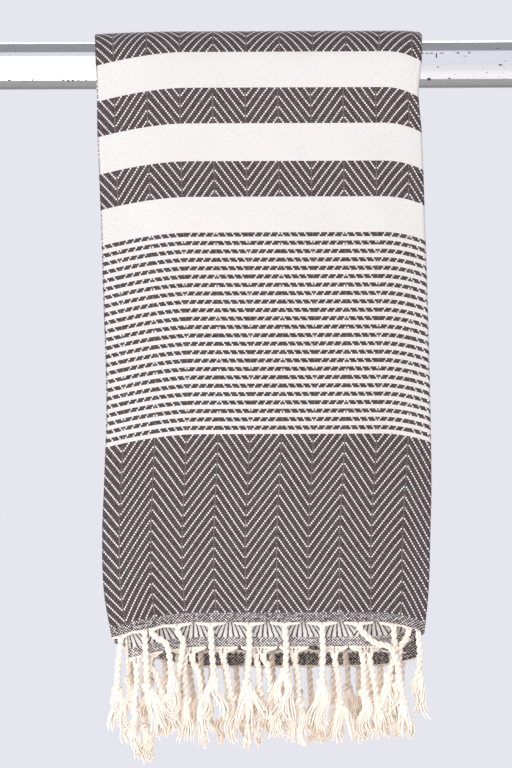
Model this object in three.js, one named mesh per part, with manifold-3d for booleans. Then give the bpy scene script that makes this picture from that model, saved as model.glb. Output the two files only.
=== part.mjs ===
// A hammam towel, folded once along its length and hung over a round tube rail.
//
// Millimetres. +Z is up, +X runs along the rail towards the towel's fold, and -Y is the front.
// The origin is on the rail's axis, at the middle of the towel's width.
//
// The towel is one sheet. Its section is followed from the outer selvedge along the outer
// layer to the fold, round the fold, and back along the inner layer to the inner selvedge.
// That section is carried up the front, over the rail and down the back.

import * as THREE from 'three';
import { mergeVertices } from 'three/addons/utils/BufferGeometryUtils.js';
import Module from 'manifold-3d';

// ---------------------------------------------------------------- driving dimensions

const RAIL = { radius: 18, wall: 2, length: 600, sides: 48 };

const CLOTH_THICKNESS = 2;
const HALF_CLOTH = CLOTH_THICKNESS / 2;

// Distance from the rail's axis to the middle of each layer.
const OUTER_RADIUS = 24.6;
const INNER_RADIUS = 19.5;

// The outer layer settles towards the inner one near both of its edges.
const SELVEDGE_SETTLE = { drop: 1.8, reach: 57 };
const FOLD_SETTLE = { drop: 1.2, reach: 14 };

// How far each hem hangs below the rail's axis.
const DROP = {
  front: { outer: 430, inner: 449 },
  back: { outer: 468, inner: 456 },
};

// The cloth hangs slanted at its edges: each hem is this much lower there than at its middle.
const SLANT = {
  front: { selvedge: 11.5, outerFold: 7.5, innerFold: -8 },
  back: { selvedge: -18, outerFold: -6, innerFold: 3 },
};
const SLANT_REACH = { selvedge: 67, fold: 40 };

// Edges of the hanging towel, by depth below the rail's axis. tuck is how far the inner
// selvedge lies inside the outer one.
const OUTLINE = {
  front: [
    { below: -26, left: -126, right: 124.8, tuck: 2 },
    { below: 0, left: -125, right: 124, tuck: 2 },
    { below: 24, left: -124.2, right: 121.8, tuck: 2.5 },
    { below: 55, left: -123.9, right: 124.4, tuck: 3 },
    { below: 104, left: -122, right: 126.3, tuck: 3 },
    { below: 185, left: -119.7, right: 129.2, tuck: 3 },
    { below: 258, left: -117.7, right: 131.1, tuck: 4 },
    { below: 324, left: -119.9, right: 132.4, tuck: 5 },
    { below: 360, left: -121, right: 131.7, tuck: 6 },
    { below: 405, left: -119.2, right: 129.6, tuck: 8 },
    { below: 445, left: -112.4, right: 126, tuck: 12 },
  ],
  back: [
    { below: -26, left: -126, right: 124.8, tuck: 2 },
    { below: 0, left: -124.6, right: 124, tuck: 2 },
    { below: 60, left: -123, right: 123, tuck: 3 },
    { below: 250, left: -119, right: 126, tuck: 3 },
    { below: 400, left: -117, right: 127, tuck: 4 },
    { below: 470, left: -111, right: 124, tuck: 6 },
  ],
};

// Soft upright folds in the hanging cloth: where each lies across, its half width, how far it
// stands out from the rail's side, and the depths between which it grows to its full height.
const SOFT_FOLDS = {
  front: [
    { x: -94, width: 17, out: 3.2, from: 300, to: 420 },
    { x: -66, width: 14, out: -1.6, from: 340, to: 440 },
    { x: 20, width: 38, out: 1.6, from: 60, to: 300 },
    { x: 92, width: 24, out: -1.8, from: 150, to: 420 },
  ],
  back: [
    { x: -80, width: 30, out: 2.2, from: 80, to: 380 },
    { x: -10, width: 34, out: -1.6, from: 120, to: 420 },
    { x: 70, width: 28, out: 2.4, from: 100, to: 440 },
  ],
};

// How finely the cloth is divided: along each layer, round the fold, and down each stretch.
const ACROSS = [0, 0.03, 0.08, 0.14, 0.22, 0.32, 0.45, 0.58, 0.72, 0.84, 0.92, 0.97, 1];
const FOLD_STEPS = 6;
const FRONT_ROWS = 12;
const OVER_RAIL_ROWS = 12;
const BACK_ROWS = 10;

// Fringe: a band of gathered warp ends along the hem, with knotted cords below it.
const HEM_GAP = 0.5;
const BAND = { height: 4, thickness: 1.6 };
const CORD_SIDES = 6;
const CORD_INTO_BAND = 3;
const CORD_RADIUS = 2;
const KNOT_RADIUS = 4.2;
const TUFT_RADIUS = 4.8;

// Rings of one knotted cord: the share of its length and the radius there.
const CORD_RINGS = [
  { share: 0, radius: CORD_RADIUS },
  { share: 0.5, radius: CORD_RADIUS },
  { share: 0.57, radius: KNOT_RADIUS },
  { share: 0.65, radius: CORD_RADIUS + 0.6 },
  { share: 0.86, radius: TUFT_RADIUS },
  { share: 1, radius: TUFT_RADIUS - 1.5 },
];

// One row for each cord: its layer, where its neck is, how far its tip leans, and its length.
const FRONT_CORDS = [
  { layer: 'outer', x: -108, lean: -3, length: 68 },
  { layer: 'outer', x: -90, lean: 2, length: 70 },
  { layer: 'outer', x: -83, lean: 14, length: 66 },
  { layer: 'outer', x: -64, lean: 2, length: 80 },
  { layer: 'outer', x: -38, lean: 3, length: 80 },
  { layer: 'outer', x: -9, lean: -2, length: 82 },
  { layer: 'outer', x: 19, lean: 0, length: 80 },
  { layer: 'outer', x: 48, lean: -2, length: 80 },
  { layer: 'outer', x: 76, lean: 12, length: 66 },
  { layer: 'outer', x: 103, lean: -3, length: 80 },
  { layer: 'outer', x: 113, lean: -9, length: 62 },
  { layer: 'outer', x: 120, lean: 2, length: 66 },
  { layer: 'inner', x: 111, lean: 5, length: 70 },
  { layer: 'inner', x: 79, lean: 5, length: 72 },
  { layer: 'inner', x: 57, lean: 7, length: 74 },
  { layer: 'inner', x: 26, lean: 3, length: 76 },
  { layer: 'inner', x: -2, lean: 6, length: 72 },
  { layer: 'inner', x: -29, lean: 8, length: 74 },
  { layer: 'inner', x: -58, lean: -5, length: 70 },
  { layer: 'inner', x: -86, lean: 9, length: 66 },
];

const BACK_CORDS = [
  { layer: 'outer', x: -104, lean: 3, length: 76 },
  { layer: 'outer', x: -84, lean: 0, length: 76 },
  { layer: 'outer', x: -56, lean: -3, length: 72 },
  { layer: 'outer', x: -30, lean: 2, length: 74 },
  { layer: 'outer', x: -4, lean: 3, length: 76 },
  { layer: 'outer', x: 24, lean: -2, length: 72 },
  { layer: 'outer', x: 52, lean: 2, length: 74 },
  { layer: 'outer', x: 76, lean: -3, length: 76 },
  { layer: 'outer', x: 98, lean: 2, length: 72 },
  { layer: 'outer', x: 118, lean: -2, length: 70 },
  { layer: 'inner', x: 108, lean: 4, length: 72 },
  { layer: 'inner', x: 88, lean: -3, length: 74 },
  { layer: 'inner', x: 64, lean: 3, length: 72 },
  { layer: 'inner', x: 38, lean: -4, length: 74 },
  { layer: 'inner', x: 10, lean: 2, length: 72 },
  { layer: 'inner', x: -18, lean: -2, length: 74 },
  { layer: 'inner', x: -44, lean: 3, length: 70 },
  { layer: 'inner', x: -70, lean: -3, length: 74 },
  { layer: 'inner', x: -94, lean: 4, length: 72 },
];

const COLOURS = { steel: 0xc4c6ca, cloth: 0x6d6366, yarn: 0xf5ecdf };

// ---------------------------------------------------------------- shared maths

const { clamp, lerp, smoothstep } = THREE.MathUtils;

// Falls smoothly from 1 at an edge to 0 at reach millimetres from it.
function edgeFade(distance, reach, power) {
  return clamp(1 - distance / reach, 0, 1) ** power;
}

// A column of an outline table at a depth below the rail's axis, on a smooth cubic that
// passes through its rows.
function readColumn(table, column, below) {
  const last = table.length - 2;
  let row = table.findIndex((entry) => entry.below > below) - 1;
  if (row < 0) row = below < table[0].below ? 0 : last;
  const [before, start, end, after] = [
    table[Math.max(row - 1, 0)],
    table[row],
    table[row + 1],
    table[Math.min(row + 2, last + 1)],
  ];
  const span = end.below - start.below;
  const share = clamp((below - start.below) / span, 0, 1);
  const slopeIn = ((end[column] - before[column]) / (end.below - before.below)) * span;
  const slopeOut = ((after[column] - start[column]) / (after.below - start.below)) * span;
  const cubed = share ** 3;
  const squared = share ** 2;
  return (
    (2 * cubed - 3 * squared + 1) * start[column] +
    (cubed - 2 * squared + share) * slopeIn +
    (3 * squared - 2 * cubed) * end[column] +
    (cubed - squared) * slopeOut
  );
}

// ---------------------------------------------------------------- the towel's shape

function outerLayerRadius(fromSelvedge, fromFold) {
  return (
    OUTER_RADIUS -
    SELVEDGE_SETTLE.drop * edgeFade(fromSelvedge, SELVEDGE_SETTLE.reach, 1.5) -
    FOLD_SETTLE.drop * edgeFade(fromFold, FOLD_SETTLE.reach, 2)
  );
}

const FOLD_BEND = (OUTER_RADIUS - FOLD_SETTLE.drop - INNER_RADIUS) / 2;
const FOLD_CENTRE_RADIUS = INNER_RADIUS + FOLD_BEND;

// Stations along the sheet's section. Each has its layer, its share of that layer's width
// from the selvedge, and the turn made round the fold.
const STATIONS = [
  ...ACROSS.map((share) => ({ layer: 'outer', share, turn: 0 })),
  ...Array.from({ length: FOLD_STEPS - 1 }, (_, step) => ({
    layer: 'fold',
    share: 1,
    turn: (Math.PI * (step + 1)) / FOLD_STEPS,
  })),
  ...ACROSS.map((share) => ({ layer: 'inner', share, turn: Math.PI })).reverse(),
];
const FOLD_START = STATIONS[ACROSS.length - 1];

// A station's place in the section at some depth: x along the rail, radius from its axis, and
// the outward direction of the sheet's face side in that plane.
function sectionPoint(station, side, below) {
  const left = readColumn(OUTLINE[side], 'left', below);
  const right = readColumn(OUTLINE[side], 'right', below);
  const tuck = readColumn(OUTLINE[side], 'tuck', below);
  const foldCentre = right - FOLD_BEND - HALF_CLOTH;
  const selvedge = station.layer === 'inner' ? left + tuck : left;
  const x = lerp(selvedge, foldCentre, station.share) + FOLD_BEND * Math.sin(station.turn);
  const radii = {
    outer: outerLayerRadius(x - left, foldCentre - x),
    fold: FOLD_CENTRE_RADIUS + FOLD_BEND * Math.cos(station.turn),
    inner: INNER_RADIUS,
  };
  return {
    x,
    radius: radii[station.layer],
    faceX: Math.sin(station.turn),
    faceRadius: Math.cos(station.turn),
  };
}

// How far the hanging cloth swells away from the rail's side.
function swell(side, x, below) {
  return SOFT_FOLDS[side].reduce(
    (sum, fold) =>
      sum +
      fold.out *
        Math.exp(-(((x - fold.x) / fold.width) ** 2)) *
        smoothstep(below, fold.from, fold.to),
    0,
  );
}

// Depth of the hem below the rail's axis at a station.
function hemDepth(station, side) {
  const nominal = DROP[side].outer;
  const left = readColumn(OUTLINE[side], 'left', nominal);
  const { x } = sectionPoint(station, side, nominal);
  const { x: foldX } = sectionPoint(FOLD_START, side, nominal);
  const slant = SLANT[side];
  const atSelvedge = slant.selvedge * edgeFade(x - left, SLANT_REACH.selvedge, 1.7);
  const nearFold = edgeFade(foldX - x, SLANT_REACH.fold, 2);
  const outer = DROP[side].outer + atSelvedge + slant.outerFold * nearFold;
  const inner = DROP[side].inner + atSelvedge + slant.innerFold * nearFold;
  const shares = { outer: 0, fold: station.turn / Math.PI, inner: 1 };
  return lerp(outer, inner, shares[station.layer]);
}

// A point of the hanging cloth, offset from the sheet's middle along its face direction.
function hangingPoint(station, side, below, offset) {
  const place = sectionPoint(station, side, below);
  const out = place.radius + offset * place.faceRadius + swell(side, place.x, below);
  const y = side === 'front' ? -out : out;
  return new THREE.Vector3(place.x + offset * place.faceX, y, -below);
}

// A point of the cloth that lies on the rail. angle runs from the front over the top.
function overRailPoint(station, angle, offset) {
  const side = angle < Math.PI / 2 ? 'front' : 'back';
  const height = OUTER_RADIUS * Math.sin(angle);
  const place = sectionPoint(station, side, -height);
  const radius = place.radius + offset * place.faceRadius;
  return new THREE.Vector3(
    place.x + offset * place.faceX,
    -radius * Math.cos(angle),
    radius * Math.sin(angle),
  );
}

// One line of points up the front, over the rail and down the back.
function clothLine(station, offset) {
  const line = [];
  const frontHem = hemDepth(station, 'front');
  const backHem = hemDepth(station, 'back');
  for (let row = 0; row < FRONT_ROWS; row += 1) {
    const below = frontHem * (1 - row / FRONT_ROWS);
    line.push(hangingPoint(station, 'front', below, offset));
  }
  for (let row = 0; row <= OVER_RAIL_ROWS; row += 1) {
    line.push(overRailPoint(station, (Math.PI * row) / OVER_RAIL_ROWS, offset));
  }
  for (let row = 1; row <= BACK_ROWS; row += 1) {
    line.push(hangingPoint(station, 'back', (backHem * row) / BACK_ROWS, offset));
  }
  return line;
}

// ---------------------------------------------------------------- closed meshes from lines

// Joins rings of equal length into one closed skin, with flat caps fanned from each end
// ring's first point. The rings run so that their points turn anticlockwise seen from the end
// that the list starts at.
function closedSkin(rings) {
  const count = rings[0].length;
  const positions = rings.flat().flatMap((point) => [point.x, point.y, point.z]);
  const faces = [];
  for (let ring = 0; ring < rings.length - 1; ring += 1) {
    for (let index = 0; index < count; index += 1) {
      const here = ring * count + index;
      const next = ring * count + ((index + 1) % count);
      faces.push(here, here + count, next, next, here + count, next + count);
    }
  }
  const lastRing = (rings.length - 1) * count;
  for (let index = 1; index < count - 1; index += 1) {
    faces.push(0, index, index + 1);
    faces.push(lastRing, lastRing + index + 1, lastRing + index);
  }
  const geometry = new THREE.BufferGeometry();
  geometry.setAttribute('position', new THREE.Float32BufferAttribute(positions, 3));
  geometry.setIndex(faces);
  return geometry;
}

// The sheet's two faces and its four edges.
function sheetGeometry(faceLines, reverseLines) {
  const lines = faceLines.length;
  const rows = faceLines[0].length;
  const positions = [...faceLines, ...reverseLines].flat().flatMap((point) => point.toArray());
  const face = (line, row) => line * rows + row;
  const reverse = (line, row) => (lines + line) * rows + row;
  const faces = [];
  const quad = (a, b, c, d) => faces.push(a, b, c, a, c, d);
  for (let line = 0; line < lines - 1; line += 1) {
    for (let row = 0; row < rows - 1; row += 1) {
      quad(face(line, row), face(line + 1, row), face(line + 1, row + 1), face(line, row + 1));
      quad(
        reverse(line, row),
        reverse(line, row + 1),
        reverse(line + 1, row + 1),
        reverse(line + 1, row),
      );
    }
  }
  for (let row = 0; row < rows - 1; row += 1) {
    const end = lines - 1;
    quad(face(0, row), face(0, row + 1), reverse(0, row + 1), reverse(0, row));
    quad(face(end, row + 1), face(end, row), reverse(end, row), reverse(end, row + 1));
  }
  for (let line = 0; line < lines - 1; line += 1) {
    const end = rows - 1;
    quad(face(line + 1, 0), face(line, 0), reverse(line, 0), reverse(line + 1, 0));
    quad(face(line, end), face(line + 1, end), reverse(line + 1, end), reverse(line, end));
  }
  const geometry = new THREE.BufferGeometry();
  geometry.setAttribute('position', new THREE.Float32BufferAttribute(positions, 3));
  geometry.setIndex(faces);
  return geometry;
}

// ---------------------------------------------------------------- joining solids

const wasm = await Module();
wasm.setup();

function toSolid(geometry) {
  const bare = geometry.clone();
  bare.deleteAttribute('normal');
  bare.deleteAttribute('uv');
  const merged = mergeVertices(bare, 1e-4);
  return new wasm.Manifold(
    new wasm.Mesh({
      numProp: 3,
      vertProperties: new Float32Array(merged.attributes.position.array),
      triVerts: new Uint32Array(merged.index.array),
    }),
  );
}

function toGeometry(solid) {
  const mesh = solid.getMesh();
  const geometry = new THREE.BufferGeometry();
  geometry.setAttribute('position', new THREE.BufferAttribute(mesh.vertProperties, 3));
  geometry.setIndex(new THREE.BufferAttribute(mesh.triVerts, 1));
  return geometry;
}

// ---------------------------------------------------------------- pieces

function railGeometry() {
  const inside = RAIL.radius - RAIL.wall;
  const end = RAIL.length / 2;
  const wallSection = [
    [inside, -end],
    [RAIL.radius, -end],
    [RAIL.radius, end],
    [inside, end],
    [inside, -end],
  ].map(([radius, along]) => new THREE.Vector2(radius, along));
  return new THREE.LatheGeometry(wallSection, RAIL.sides).rotateZ(-Math.PI / 2);
}

function towelGeometry() {
  const faceLines = STATIONS.map((station) => clothLine(station, HALF_CLOTH));
  const reverseLines = STATIONS.map((station) => clothLine(station, -HALF_CLOTH));
  return sheetGeometry(faceLines, reverseLines);
}

// The band under a hem follows the folded sheet from selvedge to selvedge.
function bandGeometry(side) {
  const half = BAND.thickness / 2;
  const rings = STATIONS.map((station) => {
    const hem = hemDepth(station, side);
    const corner = (offset, lower) => {
      const point = hangingPoint(station, side, hem, offset);
      point.z -= HEM_GAP + lower;
      return point;
    };
    const ring = [
      corner(half, 0),
      corner(half, BAND.height),
      corner(-half, BAND.height),
      corner(-half, 0),
    ];
    return side === 'front' ? ring.reverse() : ring;
  });
  return closedSkin(rings);
}

// The station of a layer that meets its hem at x.
function stationAt(layer, side, x) {
  const turn = layer === 'inner' ? Math.PI : 0;
  const edge = (share) => sectionPoint({ layer, share, turn }, side, DROP[side][layer]).x;
  return { layer, share: (x - edge(0)) / (edge(1) - edge(0)), turn };
}

function cordGeometry(side, cord) {
  const station = stationAt(cord.layer, side, cord.x);
  const hem = hemDepth(station, side);
  const neck = hangingPoint(station, side, hem, 0);
  neck.z -= HEM_GAP + BAND.height - CORD_INTO_BAND;
  const rings = CORD_RINGS.map(({ share, radius }) => {
    const centre = neck
      .clone()
      .add(new THREE.Vector3(cord.lean * share, 0, -cord.length * share));
    return Array.from({ length: CORD_SIDES }, (_, corner) => {
      const angle = (2 * Math.PI * (corner + 0.5)) / CORD_SIDES;
      return new THREE.Vector3(
        centre.x + radius * Math.cos(angle),
        centre.y + radius * Math.sin(angle),
        centre.z,
      );
    });
  });
  return closedSkin(rings);
}

function fringeGeometry(side, cords) {
  const comb = cords.reduce(
    (joined, cord) => joined.add(toSolid(cordGeometry(side, cord))),
    toSolid(bandGeometry(side)),
  );
  return toGeometry(comb);
}

// ---------------------------------------------------------------- the object

function addMesh(group, name, geometry, colour, roughness, metalness) {
  const material = new THREE.MeshStandardMaterial({ color: colour, roughness, metalness });
  const mesh = new THREE.Mesh(geometry, material);
  mesh.name = name;
  group.add(mesh);
}

const object = new THREE.Group();
addMesh(object, 'rail', railGeometry(), COLOURS.steel, 0.35, 1);
addMesh(object, 'towel', towelGeometry(), COLOURS.cloth, 0.95, 0);
addMesh(object, 'front_fringe', fringeGeometry('front', FRONT_CORDS), COLOURS.yarn, 0.95, 0);
addMesh(object, 'back_fringe', fringeGeometry('back', BACK_CORDS), COLOURS.yarn, 0.95, 0);

export default object;
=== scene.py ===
"""A hammam towel, folded once along its length and hung over a round tube rail.

The shape is worked out in millimetres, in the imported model's frame: +Z is up, +X runs along the
rail towards the towel's fold, and -Y is the front. Meshes are made in metres.
"""
import math

import bpy
import numpy as np
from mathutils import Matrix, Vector, noise


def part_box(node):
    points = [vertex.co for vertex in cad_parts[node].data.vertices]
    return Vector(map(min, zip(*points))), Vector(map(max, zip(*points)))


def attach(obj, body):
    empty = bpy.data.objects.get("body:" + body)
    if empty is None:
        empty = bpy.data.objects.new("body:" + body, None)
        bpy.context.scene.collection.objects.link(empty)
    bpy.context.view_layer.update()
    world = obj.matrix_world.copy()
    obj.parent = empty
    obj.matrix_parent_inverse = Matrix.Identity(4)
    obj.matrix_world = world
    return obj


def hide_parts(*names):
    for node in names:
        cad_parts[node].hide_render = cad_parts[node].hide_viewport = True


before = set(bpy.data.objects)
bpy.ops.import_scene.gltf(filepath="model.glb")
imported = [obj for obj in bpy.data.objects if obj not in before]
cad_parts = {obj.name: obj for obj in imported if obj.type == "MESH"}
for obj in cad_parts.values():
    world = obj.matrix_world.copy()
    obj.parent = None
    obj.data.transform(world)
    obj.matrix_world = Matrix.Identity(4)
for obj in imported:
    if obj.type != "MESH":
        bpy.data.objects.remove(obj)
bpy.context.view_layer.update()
RAIL_LOW, RAIL_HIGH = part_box("rail")

bl_info = {
    "name": "Hammam Towel On A Rail",
    "version": (1, 0, 0),
    "blender": (4, 5, 0),
    "location": "3D View > Sidebar > Towel",
    "description": "Builds a woven, fringed hammam towel hung over a steel tube rail",
    "category": "Object",
}

MM = 0.001

# ------------------------------------------------------------------ the hanging towel's shape, mm

# Distance of the outer and inner layers' middles from the rail's axis. The outer one settles
# towards the selvedge and the fold: by how much, and how far in from the edge.
OUTER_RADIUS = 24.6
INNER_RADIUS = 19.5
SELVEDGE_SETTLE = (1.8, 57)
FOLD_SETTLE = (1.2, 14)
FOLD_BEND = (OUTER_RADIUS - FOLD_SETTLE[0] - INNER_RADIUS) / 2
FOLD_CENTRE = INNER_RADIUS + FOLD_BEND
FOLD_CLEARANCE = FOLD_BEND + 1

# How far the hems of the outer and inner layers hang below the rail's axis.
DROP = {"front": (430, 449), "back": (465, 453)}

# How much lower each hem is at the selvedge, and at the fold on the outer and inner layers.
SLANT = {"front": (11.5, 7.5, -8), "back": (-18, -6, 3)}
SELVEDGE_REACH = 67
FOLD_REACH = 40

# The weft dips towards both edges of the front. Rows of depth, dip at the selvedge, dip at the
# fold, and how far in from the fold that dip reaches.
WEFT_DIP = (
    (-26, 10.0, 6.4, 24),
    (20, 10.6, 6.4, 24),
    (130, 9.8, 5.6, 30),
    (290, 10.0, 6.0, 36),
    (430, 11.5, 7.5, 40),
)

# Rows of depth and the flat distance from the outer selvedge that lies on the fold there.
FOLD_FLAT = {
    "front": (
        (-26, 246.4),
        (32, 247.2),
        (87, 250.7),
        (150, 251.8),
        (212, 253),
        (273, 255.9),
        (316, 259),
        (335, 260.5),
        (373, 261.4),
        (410, 260.2),
        (450, 259.5),
    ),
    "back": ((-26, 246.4), (60, 246.4), (250, 250), (470, 252)),
}

# The cloth stands this much off the rail over its top.
TOP_LIFT = 1.1

# Points across each layer, round the fold and over the rail.
LAYER_POINTS = 101
FOLD_POINTS = 13
TOP_POINTS = 25

# Places of the rows nearest a hem, as shares of its drop. The cut edges are pressed thinner.
NEAR_HEM = (0, 0.002, 0.005, 0.009, 0.014)
EDGE_THICKNESS = 0.6

# Between cords this far apart the hem is drawn up: by how much, half how wide and how high.
NOTCH_GAP = 15
NOTCH_DEPTH = 1.5
NOTCH_WIDTH = 2.2
NOTCH_HEIGHT = 9

# Rows of depth below the rail's axis, left edge, right edge, and the inner selvedge's tuck.
OUTLINE = {
    "front": (
        (-26, -126, 127, 2),
        (0, -125, 126, 2),
        (24, -124.2, 123.7, 2.5),
        (55, -123.9, 126.2, 3),
        (104, -122, 127.8, 3),
        (185, -119.7, 130.3, 3),
        (258, -117.7, 131.9, 4),
        (324, -119.9, 132.6, 5),
        (360, -121.4, 131.7, 6),
        (405, -120.4, 130.2, 8),
        (445, -113.6, 126, 12),
    ),
    "back": (
        (-26, -126, 127, 2),
        (0, -124.8, 125.6, 2),
        (60, -123, 123.6, 3),
        (250, -119, 126, 3),
        (400, -117, 127, 4),
        (470, -111, 124, 6),
    ),
}

# Soft upright folds: place across, half width, how far each stands out, and the depths between
# which it grows.
SOFT_FOLDS = {
    "front": (
        (-94, 17, 3.2, 300, 420),
        (-66, 14, -1.6, 340, 440),
        (20, 38, 1.6, 60, 300),
        (92, 24, -1.8, 150, 420),
        (132, 34, -7.5, 30, 170),
    ),
    "back": (
        (-80, 30, 2.2, 80, 380),
        (-10, 34, -1.6, 120, 420),
        (70, 28, 2.4, 100, 440),
    ),
}

# ------------------------------------------------------------------ the cords of the fringes, mm
#
# One row for each knotted cord: where its neck is along the hem, the points of its way down to
# the knot (across, down), the knot's size, and its loose ends (across, down, strands).

FRONT_OUTER_CORDS = (
    (-109.0, ((-2.2, 22), (-3.2, 40)), 1.0, ((-5, 27, 9), (5.5, 27, 9), (0, 24, 5))),
    (-89.7, ((0.9, 22), (1.7, 43)), 1.0, ((24, 22, 9), (16, 27, 9), (6, 29, 6))),
    (-84.4, ((11.5, 12.3), (14.8, 27.7), (15.6, 34)), 0.85, ((-2, 24, 8), (4, 22, 6))),
    (-64.1, ((4.6, 13.8), (2.4, 30), (-0.8, 45)), 0.9, ((-5, 30, 8), (2, 31, 8))),
    (-38.0, ((0.6, 20), (2.2, 41.5)), 0.95, ((-9, 26, 8), (9, 27, 9), (2, 20, 5))),
    (-8.5, ((0.2, 22), (-1.8, 45)), 0.9, ((11, 24, 8), (1, 31, 9), (-6, 29, 6))),
    (18.9, ((0.9, 18), (0.5, 36)), 0.95, ((-9, 31, 8), (1, 34, 8), (7, 33, 6))),
    (47.7, ((0.4, 24), (-0.5, 44.5)), 0.95, ((-8, 28, 9), (0, 32, 9), (5, 30, 7))),
    (75.5, ((13.2, 16), (23.6, 19), (29, 29), (34.4, 60)), 0.85, ((4, 24, 8), (-3, 22, 6))),
    (102.9, ((0.8, 21.8), (-3.5, 38.5)), 0.95, ((-3, 27, 9), (4, 25, 7))),
    (115.0, ((-6.9, 15.4), (-8.4, 30), (-9.6, 43)), 0.8, ((-6, 26, 7), (7, 25, 7))),
    (122.6, ((1.0, 16), (0.4, 31)), 0.85, ((-4.4, 27, 4), (7.2, 31, 5))),
)

FRONT_INNER_CORDS = (
    (-95.4, ((0.2, 20), (-2.2, 36)), 0.95, ((-5, 25, 9), (1, 27, 8))),
    (-86.1, ((5.4, 14), (10.0, 29)), 1.0, ((6, 28, 9), (-2, 30, 8))),
    (-58.0, ((-1, 16), (0.6, 38)), 0.95, ((-6, 28, 9), (4, 27, 8))),
    (-53.0, ((5, 18), (8.2, 36)), 0.85, ((2, 30, 8), (8, 24, 6))),
    (-28.8, ((2.6, 16), (6.2, 36)), 1.1, ((-3, 27, 9), (4, 31, 10))),
    (-3.4, ((2.0, 16), (2.6, 34)), 0.95, ((-6, 32, 8), (1, 29, 7))),
    (1.8, ((3.6, 14), (6.8, 33)), 0.9, ((4, 29, 8), (-2, 31, 7))),
    (25.8, ((3.0, 20), (3.4, 41)), 1.2, ((-5, 26, 10), (4, 28, 10))),
    (57.0, ((2.2, 20), (4.2, 42)), 1.05, ((8, 22, 10), (0, 26, 10), (-5, 24, 6))),
    (78.9, ((0.6, 16), (0.8, 34)), 1.0, ((6, 27, 8), (-3, 31, 8))),
    (84.0, ((2.0, 18), (5.6, 40)), 0.95, ((3, 24, 9), (-3, 25, 7))),
    (105.0, ((-1, 18), (0.4, 36)), 0.9, ((2, 27, 8), (-4, 25, 7))),
)

BACK_OUTER_CORDS = (
    (-97.0, ((0.4, 30), (0.8, 56)), 0.85, ((1, 22, 8), (3, 23, 7))),
    (-89.6, ((-0.4, 32), (0.6, 55)), 0.85, ((2, 24, 8), (4, 22, 6))),
    (-74.0, ((0.5, 18), (-0.8, 31)), 0.95, ((-4, 22, 8), (3, 24, 8))),
    (-55.0, ((1.2, 14), (3.0, 27)), 0.95, ((4, 20, 8), (-3, 22, 7))),
    (-38.0, ((-1, 16), (-2.4, 33)), 0.95, ((5, 22, 8), (-2, 25, 8))),
    (-19.0, ((1, 15), (0.4, 29)), 0.95, ((-3, 24, 8), (4, 21, 8))),
    (0.0, ((-1.6, 17), (-3.8, 35)), 0.95, ((3, 23, 8), (-4, 24, 8))),
    (19.0, ((-0.6, 14), (-2.0, 28)), 0.95, ((4, 24, 8), (-4, 22, 7))),
    (38.0, ((0.8, 18), (1.6, 34)), 0.95, ((4, 22, 8), (-3, 22, 8))),
    (57.0, ((-0.8, 14), (0.6, 28)), 0.95, ((-4, 24, 8), (3, 23, 8))),
    (76.0, ((0.6, 18), (2.2, 34)), 0.95, ((3, 20, 8), (-4, 22, 8))),
    (93.0, ((0.4, 15), (-0.2, 30)), 0.95, ((3, 22, 8), (-4, 20, 8))),
    (110.0, ((-0.6, 17), (-2.8, 34)), 0.95, ((-3, 21, 8), (3, 20, 8))),
)

BACK_INNER_CORDS = (
    (-101.0, ((0.6, 17), (1.0, 34)), 0.95, ((-3, 24, 8), (4, 22, 8))),
    (-83.0, ((-0.6, 15), (-2.4, 29)), 0.95, ((3, 24, 8), (-4, 25, 8))),
    (-64.0, ((1.6, 18), (3.2, 36)), 0.95, ((4, 24, 8), (-3, 22, 8))),
    (-46.0, ((-0.4, 15), (1.2, 30)), 0.95, ((-4, 24, 8), (3, 25, 8))),
    (-28.0, ((0.8, 18), (3.6, 36)), 0.9, ((3, 23, 8), (-3, 24, 8))),
    (-10.0, ((-0.6, 14), (-1.4, 28)), 0.95, ((-3, 24, 8), (4, 22, 8))),
    (9.0, ((0.4, 18), (2.4, 36)), 0.9, ((4, 25, 8), (-3, 23, 8))),
    (28.0, ((-0.6, 15), (0.8, 30)), 0.95, ((-4, 23, 8), (3, 25, 8))),
    (47.0, ((0.8, 17), (-1.6, 36)), 0.9, ((3, 24, 8), (-3, 22, 8))),
    (66.0, ((1.4, 14), (2.0, 29)), 0.95, ((-3, 25, 8), (4, 23, 8))),
    (84.0, ((0.8, 17), (1.4, 35)), 0.9, ((3, 24, 8), (-3, 22, 8))),
    (102.0, ((-0.4, 16), (-2.0, 31)), 0.95, ((-3, 22, 8), (4, 20, 8))),
)

# Piece name: the CAD node that it stands for, its side, its layer and its cords.
FRINGES = {
    "front_outer_fringe": ("front_fringe", "front", 0, FRONT_OUTER_CORDS),
    "front_inner_fringe": ("front_fringe", "front", 1, FRONT_INNER_CORDS),
    "back_outer_fringe": ("back_fringe", "back", 0, BACK_OUTER_CORDS),
    "back_inner_fringe": ("back_fringe", "back", 1, BACK_INNER_CORDS),
}

# How far below its hem a cord's neck lies: at the lower front hem, and at the others.
LOW_NECK_DROP = 5.8
NECK_DROP = 2.6

# The gathered warp ends: the first one's distance from the neck, the step from one to the next,
# and the step between the fingers that they lie in at the lower front hem.
FIRST_END = 0.8
END_STEP = 0.9
FINGER_STEP = 3.6

# A cord with no neighbour is taken to have one this far off, and this much hem stays bare on
# each side of the middle between two cords.
FREE_GAP = 24.0
BARE_GAP = 0.3

# Length in which a single yarn's own twist makes one full turn.
YARN_LAY = 2.4

# Yarns in each ply of a cord and in a knot, their distance from its middle, and how much
# thicker a knot's yarns are.
PLY_YARNS = 5
PLY_REACH = 0.78
KNOT_YARNS = 6
KNOT_REACH = 0.95
KNOT_SWELL = 1.1

# How far a knot's middle is past the end of its rope.
KNOT_DROP = 1.6

# Tufts: yarns for each strand in the tables, the lock's half width, how much longer it hangs
# than the tables say, and how far its end may stray across.
TUFT_YARNS = 1.7
TUFT_REACH = 2.8
TUFT_DROP = 1.18
TUFT_STRAY = 2.6

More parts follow.
